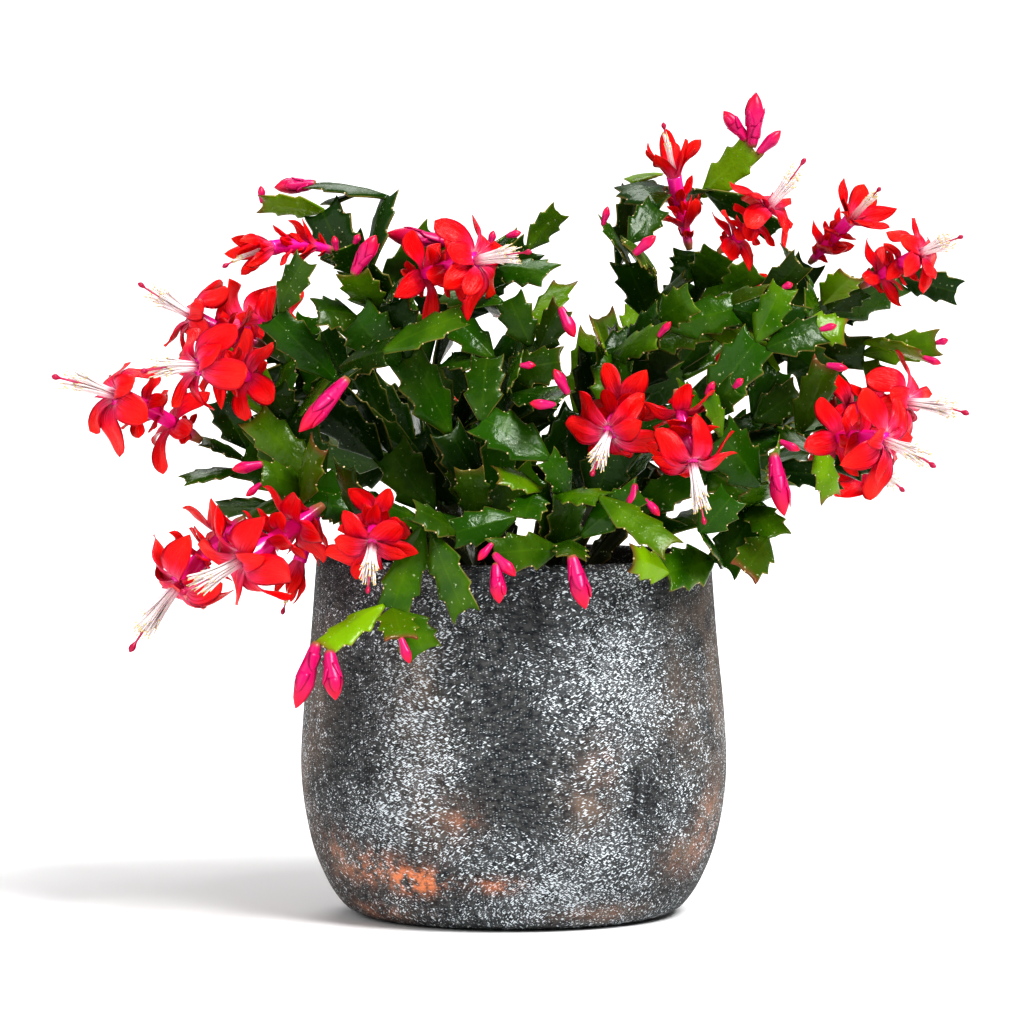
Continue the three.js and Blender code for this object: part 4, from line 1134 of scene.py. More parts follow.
class CACTUS_OT_stamens(Operator):
    """Make the stamens, their anthers and the style of each bloom"""

    bl_idname = "cactus.make_stamens"
    bl_label = "Stamens"

    def execute(self, context):
        look = context.scene.cactus_blooms
        finishes = [filament_finish(look), anther_finish(look), style_finish(look)]
        for bloom in plant.blooms.values():
            draw = draws_from(STAMEN_SEED + ord(bloom.name) * STAMEN_SEED_STEP)
            skin = Skin("along")
            shut = clamp(bloom.open * 1.6, 0.25, 1)
            for k in range(look.stamen_count):
                self.add_stamen(skin, bloom, k, shut, draw)
            self.add_style(skin, bloom)
            skin.piece(f"threads_{bloom.name}", finishes, "stamen_white", f"stamens_{bloom.name}")
        return {"FINISHED"}

    def add_stamen(self, skin, bloom, k, shut, draw):
        """A thread out of the tube's mouth, with its anther. shut draws it to the middle."""
        scale = bloom.scale
        axes = bloom.ring_axes(50)
        turn = k * STAMEN_TURN + draw(-0.2, 0.2)
        out = axes.normal * math.cos(turn) + axes.side * math.sin(turn)
        inner = 0.5 + 3.0 * math.sqrt((k % 12 + 0.5) / 12)
        start = bloom.at(TUBE_MOUTH + 0.3) + out * (inner * 0.62 * scale)
        reach = draw(60, 70)
        end = bloom.at(reach) + out * ((inner * 1.15 + draw(0.2, 1.9)) * scale * shut)
        bend = bloom.at(mix(TUBE_MOUTH, reach, 0.6)) + out * (inner * 0.75 * scale * shut)
        rings = thread(start, bend, end, 0.42, 5, STAMEN_ROWS)
        skin.loft(rings, along=np.linspace(0, 1, STAMEN_ROWS)[:, None])
        aim = unit(unit(end - bend) + out * draw(-0.5, 0.9) + axes.side * draw(-0.5, 0.5))
        size = draw(0.42, 0.62)
        anther = Axes(aim, SKEW)
        rows = ((-1, 0.25), (-0.55, 0.75), (0.25, 0.8), (1, 0.25))
        rings = [ring_round(end + aim * (size * h), anther, size * 0.8 * r, 5) for h, r in rows]
        skin.loft(rings, ink=1)

    def add_style(self, skin, bloom):
        """The style down the middle, with a lobed knob at its end."""
        knob = [BLOOM_LENGTH - short for short in (3.4, 2.2, 1, 0.1)]
        where = np.append(np.linspace(TUBE_MOUTH + 0.3, BLOOM_LENGTH - 4.4, 9), knob)
        radius = bloom.scale * np.append(np.full(9, 0.5), (0.85, 1.35, 1.2, 0.4))
        turn = np.linspace(0, 2 * np.pi, STYLE_SIDES, endpoint=False)
        lobes = [1 + 0.12 * np.cos(5 * turn) * (r > 0.6) for r in radius]
        rings = [
            ring_round(bloom.at(s), bloom.ring_axes(s), r * lobe, STYLE_SIDES)
            for s, r, lobe in zip(where, radius, lobes)
        ]
        skin.loft(rings, ink=2, along=np.linspace(0, 1, len(where))[:, None])


# Pot and soil

POT_SIDES = 180
POT_BELLY = max(r for r, _ in POT_OUTSIDE)  # where the flecks have their true size
MM_PER_DEGREE = 1.66  # length of a degree round the belly
PROFILE_STEP = 2.2  # how closely the points of the outside are set
# Radius and height of the foot underneath and of the floor inside.
POT_FOOT = [(4, 0.6), (66, 0.6), (67, 0)]
POT_FLOOR = [(66, 10), (4, 9)]
WALL_LOW, WALL_HIGH = 12, 154  # between these heights the inside follows the outside
# The rounded lip: how far in from the outside and how far below the top each point lies.
LIP_OUTSIDE = [(0.1, 2.6), (0.6, 1.2), (1.7, 0.3), (3, 0)]
LIP_INSIDE = [(4.4, 0.3), (5.5, 1.4), (6, 3.4)]
# Radius and height up the side of the soil.
SOIL_SIDE = [(60, 9.6), (76, 30), (83, 62), (82, 100), (80.6, 130), (79.6, SOIL_TOP)]
SOIL_SIDES = 72
SOIL_RINGS = 24
SOIL_EDGE = 77  # radius of the rough top
# Spots on the pot: way round in degrees from the front, height, size in each way,
# then how rusty, how brown and how thick with pale flecks the spot is. Most are stains and
# worn places; some paint light and shade, as marked below.
WEAR_AND_PAINTED_LIGHT = [
    # The thick flecks at 25 and -26 degrees are partly painted highlight: the two bright bands that the
    # lamps leave on the front.
    (25, 120, 24, 28, 0, 0, 1), (-26, 82, 18, 30, 0, 0.25, 0.95), (-21, 132, 16, 13, 0, 0, 0.8),
    (9, 17, 34, 11, 0, 0, 0.9), (-5, 37, 42, 10, 0, 0, 0.65), (30, 29, 24, 20, 0, 0, 0.65),
    (-40, 54, 20, 10, 0, 0, 0.8), (34, 93, 18, 24, 0, 0.1, 0.5), (34, 158, 12, 8, 0, 0, 0.8),
    # The thin flecks at -3 degrees paint the darker band between those highlights, as painted shade.
    (-21, 158, 10, 8, 0, 0, 0.8), (-3, 78, 17, 34, 0, 0, -0.7), (-54, 108, 15, 30, 0, 0, -0.6),
    (-28, 113, 12, 13, 0, 0.75, 0.2), (19, 62, 11, 16, 0.03, 0.9, 0.2), (-19, 50, 14, 12, 0.1, 0.65, 0),
    (53, 95, 14, 24, 0, 0.6, 0.1), (68, 44, 14, 16, 0.22, 0.85, 0), (56, 31, 16, 9, 0.15, 0.75, 0),
    (-66, 108, 16, 34, 0, 0.6, 0), (-60, 30, 14, 12, 0.2, 0.65, 0), (-29, 23, 12, 5, 1.6, 0.1, 0),
    (-43, 27, 18, 7, 0.55, 0.5, 0), (-5, 22, 10, 3, 0.6, 0.2, 0), (-13, 51, 5, 3, 0.3, 0.3, 0),
    (30, 8, 26, 4, 0.1, 0.9, 0), (-50, 6, 24, 4, 0.3, 0.8, 0), (110, 70, 34, 40, 0, 0.2, 0.9),
    (-78, 70, 16, 60, 0, 0.7, 0.1), (76, 110, 22, 50, 0, 0.8, 0.1), (24, 76, 6, 10, 0.12, 0.5, 0.3),
    (150, 100, 26, 36, 0, 0.5, 0.2), (190, 60, 30, 40, 0, 0.1, 0.9), (235, 96, 30, 30, 0, 0.6, 0.4),
    (262, 40, 26, 30, 0.2, 0.3, 0.8), (130, 20, 22, 8, 0.7, 0.2, 0.1), (215, 12, 20, 7, 0.8, 0.1, 0),
    # The spots at 2 and 60 degrees by the rim, with fewer flecks and some brown, are the painted shadow
    # of the leaves.
    (180, 130, 40, 14, 0, 0.6, 0.1), (2, 140, 34, 16, 0, 0, -0.5), (60, 140, 20, 16, 0, 0.3, -0.3),
]
# Scratches: way round in degrees, lowest and highest point.
SCRATCHES = [(34.2, 51, 71), (38.5, 49, 69), (-41, 60, 74), (150, 80, 104)]


class CACTUS_OT_pot(Operator):
    """Make the stoneware pot"""

    bl_idname = "cactus.make_pot"
    bl_label = "Pot"

    def execute(self, context):
        look = context.scene.cactus_pot
        outside = self.outside()
        outer = POT_FOOT + outside[1:] + self.lip(LIP_OUTSIDE)
        wall = [(r - POT_WALL, z) for r, z in outside[::-1] if WALL_LOW < z < WALL_HIGH]
        profile = np.array(outer + self.lip(LIP_INSIDE) + wall + POT_FLOOR)
        turn = np.linspace(0, 2 * np.pi, POT_SIDES, endpoint=False)
        across, away = np.outer(profile[:, 0], np.sin(turn)), -np.outer(profile[:, 0], np.cos(turn))
        heights = np.repeat(profile[:, 1:], POT_SIDES, axis=1)
        inside = np.zeros(heights.shape)
        inside[len(outer) :] = 1
        painted = {"scratch": self.scratches(turn, heights), "dim": inside, **self.wear_and_painted_light(turn, heights)}
        skin = Skin("rust", "brown", "pale", "scratch", "dim")
        skin.loft(np.stack([across, away, heights], axis=-1), **painted)
        skin.piece("stoneware_pot", [pot_finish(look)], "pot_stoneware", "pot")
        return {"FINISHED"}

    def outside(self):
        """The profile of the outside as a smooth curve, with closely set points."""
        r, z = np.array(POT_OUTSIDE, float).T
        length = np.append(0, np.cumsum(np.hypot(np.diff(r), np.diff(z))))
        points = []
        for i in range(len(r) - 1):
            before, after = max(i - 1, 0), min(i + 2, len(r) - 1)
            span = length[i + 1] - length[i]
            steps = max(2, round(span / PROFILE_STEP))
            t = np.arange(steps) / steps
            curves = []
            for v in (r, z):
                leave = (v[i + 1] - v[before]) / (length[i + 1] - length[before])
                arrive = (v[after] - v[i]) / (length[after] - length[i])
                ease = t**2 * (3 - 2 * t)
                pull = t * (1 - t) * span * (leave * (1 - t) - arrive * t)
                curves.append(mix(v[i], v[i + 1], ease) + pull)
            points += list(zip(*curves))
        return points + [(r[-1], z[-1])]

    def lip(self, points):
        """Points of the lip, in from the outside and down from the top."""
        return [(POT_OUTSIDE[-1][0] - inward, POT_HEIGHT - below) for inward, below in points]

    def wear_and_painted_light(self, turn, heights):
        """How rusty, brown and pale each point is, as the sum of all the spots, some of them painted
        highlight and painted shadow.
        """
        way = np.degrees(turn)[None, :]
        kinds = {"rust": 0, "brown": 0, "pale": 0}
        for angle, height, wide, tall, *shares in WEAR_AND_PAINTED_LIGHT:
            off = (way - angle + 180) % 360 - 180
            spot = np.exp(-((off * MM_PER_DEGREE / wide) ** 2) - ((heights - height) / tall) ** 2)
            for kind, share in zip(kinds, shares):
                kinds[kind] = kinds[kind] + share * spot
        return {kind: np.clip(value, -1, 1) for kind, value in kinds.items()}

    def scratches(self, turn, heights):
        """How deep in a scratch each point lies."""
        way = np.degrees(turn)[None, :]
        total = np.zeros((heights.shape[0], len(turn)))
        for angle, low, high in SCRATCHES:
            off = (way - angle + 180) % 360 - 180
            total += np.exp(-((off / 1.3) ** 2)) * ((heights > low) & (heights < high))
        return np.clip(total, 0, 1)


class CACTUS_OT_soil(Operator):
    """Make the soil that fills the pot, with its crumbs"""

    bl_idname = "cactus.make_soil"
    bl_label = "Soil"

    def execute(self, context):
        draw = draws_from(SOIL_SEED)
        skin = Skin("seed")
        turn = np.linspace(0, 2 * np.pi, SOIL_SIDES, endpoint=False)

        def ring(r, z):
            return np.stack([r * np.cos(turn), r * np.sin(turn), z + 0 * turn], axis=-1)

        rings = [ring(r, z) for r, z in SOIL_SIDE]
        for r in np.linspace(SOIL_EDGE, 3, SOIL_RINGS):
            rough = np.array([draw(-0.9, 0.9) for _ in turn])
            rings.append(ring(r, soil_at(r) + rough))
        skin.loft(rings, seed=0.5)
        for _ in range(context.scene.cactus_pot.crumb_count):
            way, r, size = draw(0, 6.283), SOIL_EDGE * math.sqrt(draw(0, 1)), draw(0.8, 2.4)
            middle = vec(r * math.cos(way), r * math.sin(way), soil_at(r) + size * 0.25)
            axes = Axes(unit(vec(draw(-1, 1), draw(-1, 1), 1.2)), SKEW)
            crumb = []
            for h, k in ((-0.8, 0.45), (-0.3, 0.95), (0.35, 0.85), (0.8, 0.4)):
                radius = size * k * draw(0.8, 1.1)
                crumb.append(ring_round(middle + axes.along * size * h, axes, radius, 6))
            skin.loft(crumb, seed=draw(0, 1))
        skin.piece("potting_soil", [soil_finish(context.scene.cactus_pot)], "soil", "soil")
        return {"FINISHED"}


# Finishes

# Colours that they mix with those that a user may change
SPECK = (0.45, 0.5, 0.32, 1)
BRISTLE_BROWN = (0.5, 0.36, 0.18, 1)
BRISTLE_CREAM = (0.8, 0.7, 0.48, 1)
BUD_FOOT = (0.2, 0.16, 0.03, 1)
# Pink of the petals' paler bases, also a painted highlight near where they start
PINK_BASE_AND_HIGHLIGHT = (1.0, 0.16, 0.3, 1)
THROAT = (0.95, 0.6, 0.66, 1)
VEIN = (0.3, 0.0, 0.012, 1)
TUBE_FOOT = (0.28, 0.16, 0.06, 1)
THREAD_FOOT = (0.9, 0.5, 0.58, 1)
POLLEN = (0.6, 0.42, 0.14, 1)
STYLE_FOOT = (0.75, 0.16, 0.3, 1)
SCRATCH = (0.006, 0.006, 0.008, 1)
POT_INSIDE = (0.05, 0.035, 0.025, 1)
WET_SOIL = (0.012, 0.008, 0.005, 1)
CRUMB = (0.12, 0.08, 0.05, 1)


class Finish:
    """A material in the making. Numbers and colours that stay the same go on the shader."""

    def __init__(self, name, **constants):
        self.material = bpy.data.materials.new(name)
        self.material.use_nodes = True
        self.tree = self.material.node_tree
        self.shader = self.tree.nodes["Principled BSDF"]
        for socket, value in constants.items():
            self.shader.inputs[socket.replace("_", " ")].default_value = value

    def node(self, kind, inputs, out=0, **settings):
        """Makes a node and gives one of its outputs."""
        made = self.tree.nodes.new("ShaderNode" + kind)
        for key, value in settings.items():
            setattr(made, key, value)
        for socket, value in inputs.items():
            self.feed(made.inputs[socket], value)
        return made.outputs[out]

    def feed(self, socket, value):
        """Links a socket to another's output, or sets it to a constant."""
        if isinstance(value, bpy.types.NodeSocket):
            self.tree.links.new(value, socket)
        else:
            socket.default_value = value

    def painted(self, name):
        """A value that the skin has painted on its points."""
        return self.node("Attribute", {}, "Fac", attribute_name=name)

    def here(self):
        return self.node("TexCoord", {}, "Object")

    def parts(self, vector):
        split = self.tree.nodes.new("ShaderNodeSeparateXYZ")
        self.feed(split.inputs[0], vector)
        return split.outputs

    def math(self, operation, a, b=0.0, clamped=False):
        return self.node("Math", {0: a, 1: b}, operation=operation, use_clamp=clamped)

    def between(self, value, low, high, to_low=0.0, to_high=1.0):
        """A smooth step from to_low to to_high while value goes from low to high."""
        inputs = {"Value": value, "From Min": low, "From Max": high, "To Min": to_low, "To Max": to_high}
        return self.node("MapRange", inputs, interpolation_type="SMOOTHSTEP")

    def blend(self, share, a, b):
        """Colour a with a share of colour b over it."""
        return self.node("Mix", {0: share, 6: a, 7: b}, 2, data_type="RGBA")

    def noise(self, where, scale, detail=3.0, rough=0.5, out="Fac"):
        inputs = {"Vector": where, "Scale": scale, "Detail": detail, "Roughness": rough}
        return self.node("TexNoise", inputs, out)

    def bump(self, height, depth, strength=1.0, under=None):
        inputs = {"Height": height, "Distance": depth, "Strength": strength}
        if under:
            inputs["Normal"] = under
        return self.node("Bump", inputs)

    def wire(self, **sockets):
        """Feeds the shader and gives the finished material."""
        for socket, value in sockets.items():
            self.feed(self.shader.inputs[socket.replace("_", " ")], value)
        return self.material


def colour(rgb):
    return (*rgb[:3], 1.0)


def stem_finish(look):
    """Waxy green, paler where young, with worn edges, a red flush and pale specks."""
    f = Finish("waxy_stem_green", Specular_IOR_Level=0.24)
    tone, along, rim, seed = (f.painted(n) for n in ("tone", "along", "rim", "seed"))
    here = f.here()
    patches = f.noise(here, 70, 3)
    shade = f.math("ADD", tone, f.math("MULTIPLY", f.math("SUBTRACT", patches, 0.45), 0.8))
    base = f.blend(f.between(shade, 0.1, 1.0), colour(look.old_green), colour(look.young_green))
    base = f.blend(f.between(seed, 0, 1, 0, 0.8), base, colour(look.deep_green))
    base = f.blend(f.between(tone, -0.1, -0.35), base, colour(look.woody))
    rib = f.math("MULTIPLY", f.between(rim, 0.1, 0.0), 0.07)
    base = f.blend(rib, base, colour(look.young_green))
    edge = f.math("MULTIPLY", f.between(rim, 0.9, 1.0), f.between(patches, 0.35, 0.62, 0.1, 0.75))
    base = f.blend(edge, base, colour(look.edge))
    end = f.math("MULTIPLY", f.between(along, 0.88, 1.06), f.between(tone, 0.3, 0.8))
    base = f.blend(f.math("MULTIPLY", end, 0.8), base, colour(look.flush))
    specks = f.between(f.noise(here, 620, 1), 0.7, 0.76, 0.0, 0.6)
    base = f.blend(specks, base, SPECK)
    low = f.bump(f.noise(here, 55, 2), 0.0018, 0.6)
    fine = f.bump(f.noise(here, 420, 2), 0.0004, 0.6, low)
    return f.wire(Base_Color=base, Normal=fine, Roughness=f.between(patches, 0.3, 0.7, 0.16, 0.34))


def bristle_finish():
    """Cream and brown, as mottled as a tuft of bristles."""
    f = Finish("cream_bristles", Roughness=0.8)
    grain = f.noise(f.here(), 900, 2)
    base = f.blend(grain, BRISTLE_BROWN, BRISTLE_CREAM)
    return f.wire(Base_Color=base)


def bud_finish(look):
    """Crimson buds with a redder tip, a brownish foot and faint streaks."""
    f = Finish("bud_crimson", Roughness=0.36, Specular_IOR_Level=0.45)
    along = f.painted("along")
    base = f.blend(f.between(along, 0.45, 1.0), colour(look.bud), colour(look.bud_tip))
    base = f.blend(f.between(along, 0.1, 0.0), base, BUD_FOOT)
    streak = f.noise(f.here(), 300, 3)
    base = f.blend(f.math("MULTIPLY", streak, 0.35), base, colour(look.petal_base))
    return f.wire(Base_Color=base, Normal=f.bump(streak, 0.0003, 0.5))


def petal_finish(look):
    """Red petals: magenta where they start, veined, and glowing towards the tip."""
    f = Finish("petal_red", Roughness=0.3, Specular_IOR_Level=0.3)
    names = ("along", "rim", "share", "seed", "inner", "throat")
    along, rim, share, seed, inner, throat = (f.painted(n) for n in names)
    lengthwise = {0: f.math("MULTIPLY", share, 9.0), 1: f.math("MULTIPLY", along, 1.3)}
    lanes = f.node("CombineXYZ", {**lengthwise, 2: f.math("MULTIPLY", seed, 40.0)})
    veins = f.noise(lanes, 1.6, 3)
    reach = f.math("ADD", along, f.math("MULTIPLY", f.math("SUBTRACT", veins, 0.5), 0.5))
    base = f.blend(f.between(reach, 0.1, 0.55), colour(look.petal_base), colour(look.petal_tip))
    warm = f.math("MULTIPLY", f.between(reach, 0.45, 1.0), f.between(seed, 0, 1, 0.15, 0.8))
    base = f.blend(warm, base, colour(look.petal_glow))
    margin = f.math("MULTIPLY", f.between(rim, 0.7, 1.0), 0.25)
    base = f.blend(margin, base, colour(look.petal_base))
    # Painted highlight: pale pink near each petal's foot, partly the petal's own paler base
    pink_base_and_highlight = f.math("MULTIPLY", f.between(reach, 0.5, 0.1), f.between(seed, 0, 1, 0.15, 0.55))
    base = f.blend(pink_base_and_highlight, base, PINK_BASE_AND_HIGHLIGHT)
    pale = f.math("MULTIPLY", f.between(reach, 0.16, 0.0), f.math("MULTIPLY", inner, throat))
    base = f.blend(f.math("MULTIPLY", pale, 0.8), base, THROAT)
    dark = f.math("MULTIPLY", f.between(veins, 0.42, 0.66), 0.3)
    base = f.blend(dark, base, VEIN)
    return f.wire(Base_Color=base, Normal=f.bump(veins, 0.0009, 0.6))


def tube_finish(look):
    """A glossy magenta tube on a brownish foot."""
    f = Finish("bloom_tube_magenta", Roughness=0.24, Specular_IOR_Level=0.6)
    along = f.painted("along")
    base = f.blend(f.between(along, 0.06, 0.2), TUBE_FOOT, colour(look.tube))
    grain = f.noise(f.here(), 260, 3)
    base = f.blend(f.math("MULTIPLY", grain, 0.3), base, colour(look.petal_base))
    return f.wire(Base_Color=base, Normal=f.bump(grain, 0.0003, 0.4))


def filament_finish(look):
    """White threads that start out pink."""
    f = Finish("stamen_white", Roughness=0.5, Subsurface_Weight=0.1, Subsurface_Scale=0.001)
    along = f.painted("along")
    base = f.blend(f.between(along, 0.0, 0.35), THREAD_FOOT, colour(look.stamen))
    return f.wire(Base_Color=base)


def anther_finish(look):
    """Grainy cream anthers."""
    f = Finish("anther_cream", Roughness=0.85)
    base = f.blend(f.noise(f.here(), 1200, 2), POLLEN, colour(look.anther))
    return f.wire(Base_Color=base)


def style_finish(look):
    """A magenta style that darkens to its knob."""
    f = Finish("style_magenta", Roughness=0.35)
    along = f.painted("along")
    base = f.blend(f.between(along, 0.1, 0.9), STYLE_FOOT, colour(look.style))
    return f.wire(Base_Color=base)


def pot_finish(look):
    """Weathered stoneware: fine pale dashes, thick in places, over a dark matt ground. Some thick and
    thin places are painted highlight and painted shadow.
    """
    f = Finish("weathered_stoneware", Roughness=0.7, Specular_IOR_Level=0.35)
    here = f.here()
    x, y, z = f.parts(here)
    round_it = f.math("MULTIPLY", f.math("ARCTAN2", x, f.math("MULTIPLY", y, -1.0)), POT_BELLY * MM)
    swirl = f.parts(f.noise(here, 22, 2, 0.5, "Color"))
    across, up = (
        f.math("ADD", place, f.math("MULTIPLY", f.math("SUBTRACT", shift, 0.5), 0.014))
        for place, shift in ((round_it, swirl[0]), (z, swirl[1]))
    )
    patches = f.noise(here, 45, 4, 0.65)
    rust, brown, pale, scratch, dim = (f.painted(n) for n in ("rust", "brown", "pale", "scratch", "dim"))
    # The pale paint raises the flecks and haze where a spot paints a highlight, and lowers them where it
    # paints shadow.
    crowd = f.math("ADD", f.between(patches, 0.4, 0.72, 0.04, 0.42), f.math("MULTIPLY", pale, 0.5))
    size = look.fleck_length, look.fleck_height
    rising = dashes(f, across, up, 0.5, size, crowd)
    falling = dashes(f, across, up, -0.35, size, crowd)
    thin = f.math("ADD", f.math("MULTIPLY", crowd, 0.5), 0.34)
    faint = dashes(f, across, up, 0.1, (size[0] * 0.55, size[1] * 0.7), thin)
    flecks = f.math("MAXIMUM", f.math("MAXIMUM", rising, falling), f.math("MULTIPLY", faint, 0.45))
    streaks = f.node("CombineXYZ", {0: across, 1: f.math("MULTIPLY", up, 1.8)})
    mottle = f.between(f.noise(streaks, 240, 5, 0.75), 0.36, 0.66)
    ground = f.blend(mottle, colour(look.dark), colour(look.grey))
    clouds = f.math("MULTIPLY", crowd, f.between(f.noise(here, 160, 4, 0.7), 0.35, 0.7))
    ground = f.blend(f.math("MULTIPLY", clouds, 0.9, clamped=True), ground, colour(look.haze))
    stain = f.math("MULTIPLY", brown, f.between(f.noise(here, 60, 5, 0.7), 0.3, 0.65))
    ground = f.blend(f.math("MULTIPLY", stain, 0.75), ground, colour(look.brown))
    worn = f.math("MULTIPLY", rust, f.between(f.noise(here, 130, 5, 0.75), 0.4, 0.6))
    base = f.blend(flecks, ground, colour(look.fleck))
    base = f.blend(f.math("MULTIPLY", worn, 0.95, clamped=True), base, colour(look.rust))
    base = f.blend(f.math("MULTIPLY", scratch, 0.85), base, SCRATCH)
    base = f.blend(f.math("MULTIPLY", dim, 0.6), base, POT_INSIDE)
    low = f.bump(f.noise(here, 150, 4, 0.6), 0.0008, 0.5)
    return f.wire(Base_Color=base, Normal=f.bump(flecks, 0.0002, 0.5, low))


def dashes(f, across, up, tilt, size, crowd):
    """How strongly a pale dash covers each point; crowd is the share of the dashes that show."""
    long, tall = size
    run, rise = math.cos(tilt), math.sin(tilt)
    by = f.math("ADD", f.math("MULTIPLY", across, run / long), f.math("MULTIPLY", up, rise / long))
    over = f.math("SUBTRACT", f.math("MULTIPLY", up, run / tall), f.math("MULTIPLY", across, rise / tall))
    cells = f.tree.nodes.new("ShaderNodeTexVoronoi")
    cells.voronoi_dimensions = "2D"
    f.feed(cells.inputs["Vector"], f.node("CombineXYZ", {0: by, 1: over}))
    f.feed(cells.inputs["Scale"], 1.0)
    lot, girth, _ = f.parts(cells.outputs["Color"])
    reach = f.between(girth, 0, 1, 0.14, 0.36)
    spot = f.between(f.math("SUBTRACT", reach, cells.outputs["Distance"]), -0.04, 0.05)
    return f.math("MULTIPLY", spot, f.between(f.math("SUBTRACT", crowd, lot), -0.04, 0.04))


def soil_finish(look):
    """Dark grainy soil with paler crumbs."""
    f = Finish("potting_soil", Roughness=0.95)
    here = f.here()
    grain = f.noise(here, 350, 5, 0.65)
    base = f.blend(f.between(grain, 0.3, 0.7), WET_SOIL, colour(look.soil))
    base = f.blend(f.math("MULTIPLY", f.painted("seed"), 0.3), base, CRUMB)
    return f.wire(Base_Color=base, Normal=f.bump(grain, 0.001, 0.9))


def floor_finish(look):
    """A plain pale floor."""
    f = Finish("pale_floor", Roughness=0.7)
    base = f.blend(f.noise(f.here(), 3, 2), colour(look.floor), colour([c * 0.99 for c in look.floor]))
    return f.wire(Base_Color=base)


# Stage

FLOOR_SIDES = 64
LIT_POINT = (0, 0, 0.18)  # what the lamps shine at
SENSOR_WIDTH = 36
CAMERA_REACH = 100
# Lamps: the way in which each stands, and how many degrees of the sky it fills.
LAMPS = {
    "key": ((1.2, -1.3, 2.2), 24),
    "fill": ((-1.9, -1.6, 1.1), 50),
    "back": ((-0.3, 1.5, 2.2), 30),
}


class CACTUS_OT_stage(Operator):
    """Make the pale floor, the soft studio light and the camera"""

    bl_idname = "cactus.make_stage"
    bl_label = "Stage"

    def execute(self, context):
        scene, look = context.scene, context.scene.cactus_stage
        self.add_floor(scene, look)
        for name, (place, spread) in LAMPS.items():
            self.add_lamp(scene, name, place, spread, getattr(look, name + "_strength"))
        self.add_air(scene, look)
        scene.view_settings.view_transform = "Standard"
        scene.view_settings.look = "High Contrast"
        self.add_camera(scene, look)
        return {"FINISHED"}

    def add_floor(self, scene, look):
        """A round floor that reaches far beyond the picture."""
        mesh = bpy.data.meshes.new("floor")
        reach = look.floor_reach
        turn = np.linspace(0, 2 * np.pi, FLOOR_SIDES, endpoint=False)
        corners = [(reach * math.cos(t), reach * math.sin(t), 0) for t in turn]
        mesh.from_pydata(corners, [], [list(range(FLOOR_SIDES))])
        mesh.materials.append(floor_finish(look))
        floor = bpy.data.objects.new("floor", mesh)
        scene.collection.objects.link(floor)
        floor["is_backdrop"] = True

    def add_camera(self, scene, look):
        """The camera, which stands level with the plant and looks a little down on it."""
        lens = bpy.data.cameras.new("camera")
        lens.lens, lens.sensor_width = look.lens, SENSOR_WIDTH
        lens.clip_end = CAMERA_REACH
        camera = bpy.data.objects.new("camera", lens)
        scene.collection.objects.link(camera)
        self.aim(camera, look.eye, look.target)
        scene.camera = camera

    def aim(self, thing, place, target):
        """Stands a camera or light at place and turns it to the target."""
        away = vec(*place) - vec(*target)
        tilt = math.atan2(math.hypot(away[0], away[1]), away[2])
        thing.location = place
        thing.rotation_euler = (tilt, 0, math.atan2(away[0], -away[1]))

    def add_lamp(self, scene, name, place, spread, strength):
        """A broad lamp far away, whose light is even over the whole floor."""
        lamp = bpy.data.lights.new(name, "SUN")
        lamp.energy, lamp.angle = strength, math.radians(spread)
        light = bpy.data.objects.new(name, lamp)
        scene.collection.objects.link(light)
        self.aim(light, place, LIT_POINT)

    def add_air(self, scene, look):
        """Even light from all round, before a background of plain white."""
        world = bpy.data.worlds.new("studio")
        scene.world = world
        world.use_nodes = True
        nodes, links = world.node_tree.nodes, world.node_tree.links
        light = nodes["Background"]
        light.inputs["Color"].default_value = colour(look.air)
        light.inputs["Strength"].default_value = look.air_strength
        backdrop = nodes.new("ShaderNodeBackground")
        backdrop.inputs["Color"].default_value = (1, 1, 1, 1)
        path, either = nodes.new("ShaderNodeLightPath"), nodes.new("ShaderNodeMixShader")
        links.new(path.outputs["Is Camera Ray"], either.inputs[0])
        links.new(light.outputs[0], either.inputs[1])
        links.new(backdrop.outputs[0], either.inputs[2])
        links.new(either.outputs[0], nodes["World Output"].inputs["Surface"])


# Sizes and colours that a user may change


def a_colour(name, description, default):
    return FloatVectorProperty(
        name=name, description=description, default=default, size=3, min=0, max=1, subtype="COLOR"
    )


def a_length(name, description, default):
    return FloatProperty(
        name=name, description=description, default=default, min=0, precision=5,
        subtype="DISTANCE", unit="LENGTH",
    )


def a_strength(name, description, default):
    return FloatProperty(name=name, description=description, default=default, min=0)


def a_place(name, description, default):
    return FloatVectorProperty(
        name=name, description=description, default=default, subtype="XYZ", unit="LENGTH"
    )


class CactusPotLook(PropertyGroup):
    dark: a_colour("Dark clay", "Darkest colour of the pot's ground", (0.006, 0.009, 0.013))
    grey: a_colour("Grey clay", "Lighter colour of the pot's ground", (0.078, 0.08, 0.078))
    haze: a_colour("Haze", "Colour between the flecks where they stand thick", (0.17, 0.18, 0.19))
    fleck: a_colour("Fleck", "Colour of the pale dashes", (0.62, 0.67, 0.7))
    brown: a_colour("Brown stain", "Colour of the brown patches", (0.25, 0.18, 0.135))
    rust: a_colour("Worn clay", "Colour where the clay shows through at the foot", (0.76, 0.27, 0.12))
    soil: a_colour("Soil", "Colour of the soil", (0.05, 0.033, 0.022))
    fleck_length: a_length("Fleck length", "Length of a pale dash", 0.0027)
    fleck_height: a_length("Fleck height", "Height of a pale dash", 0.00085)
    crumb_count: IntProperty(name="Crumbs", description="Crumbs on the soil", default=420, min=0)


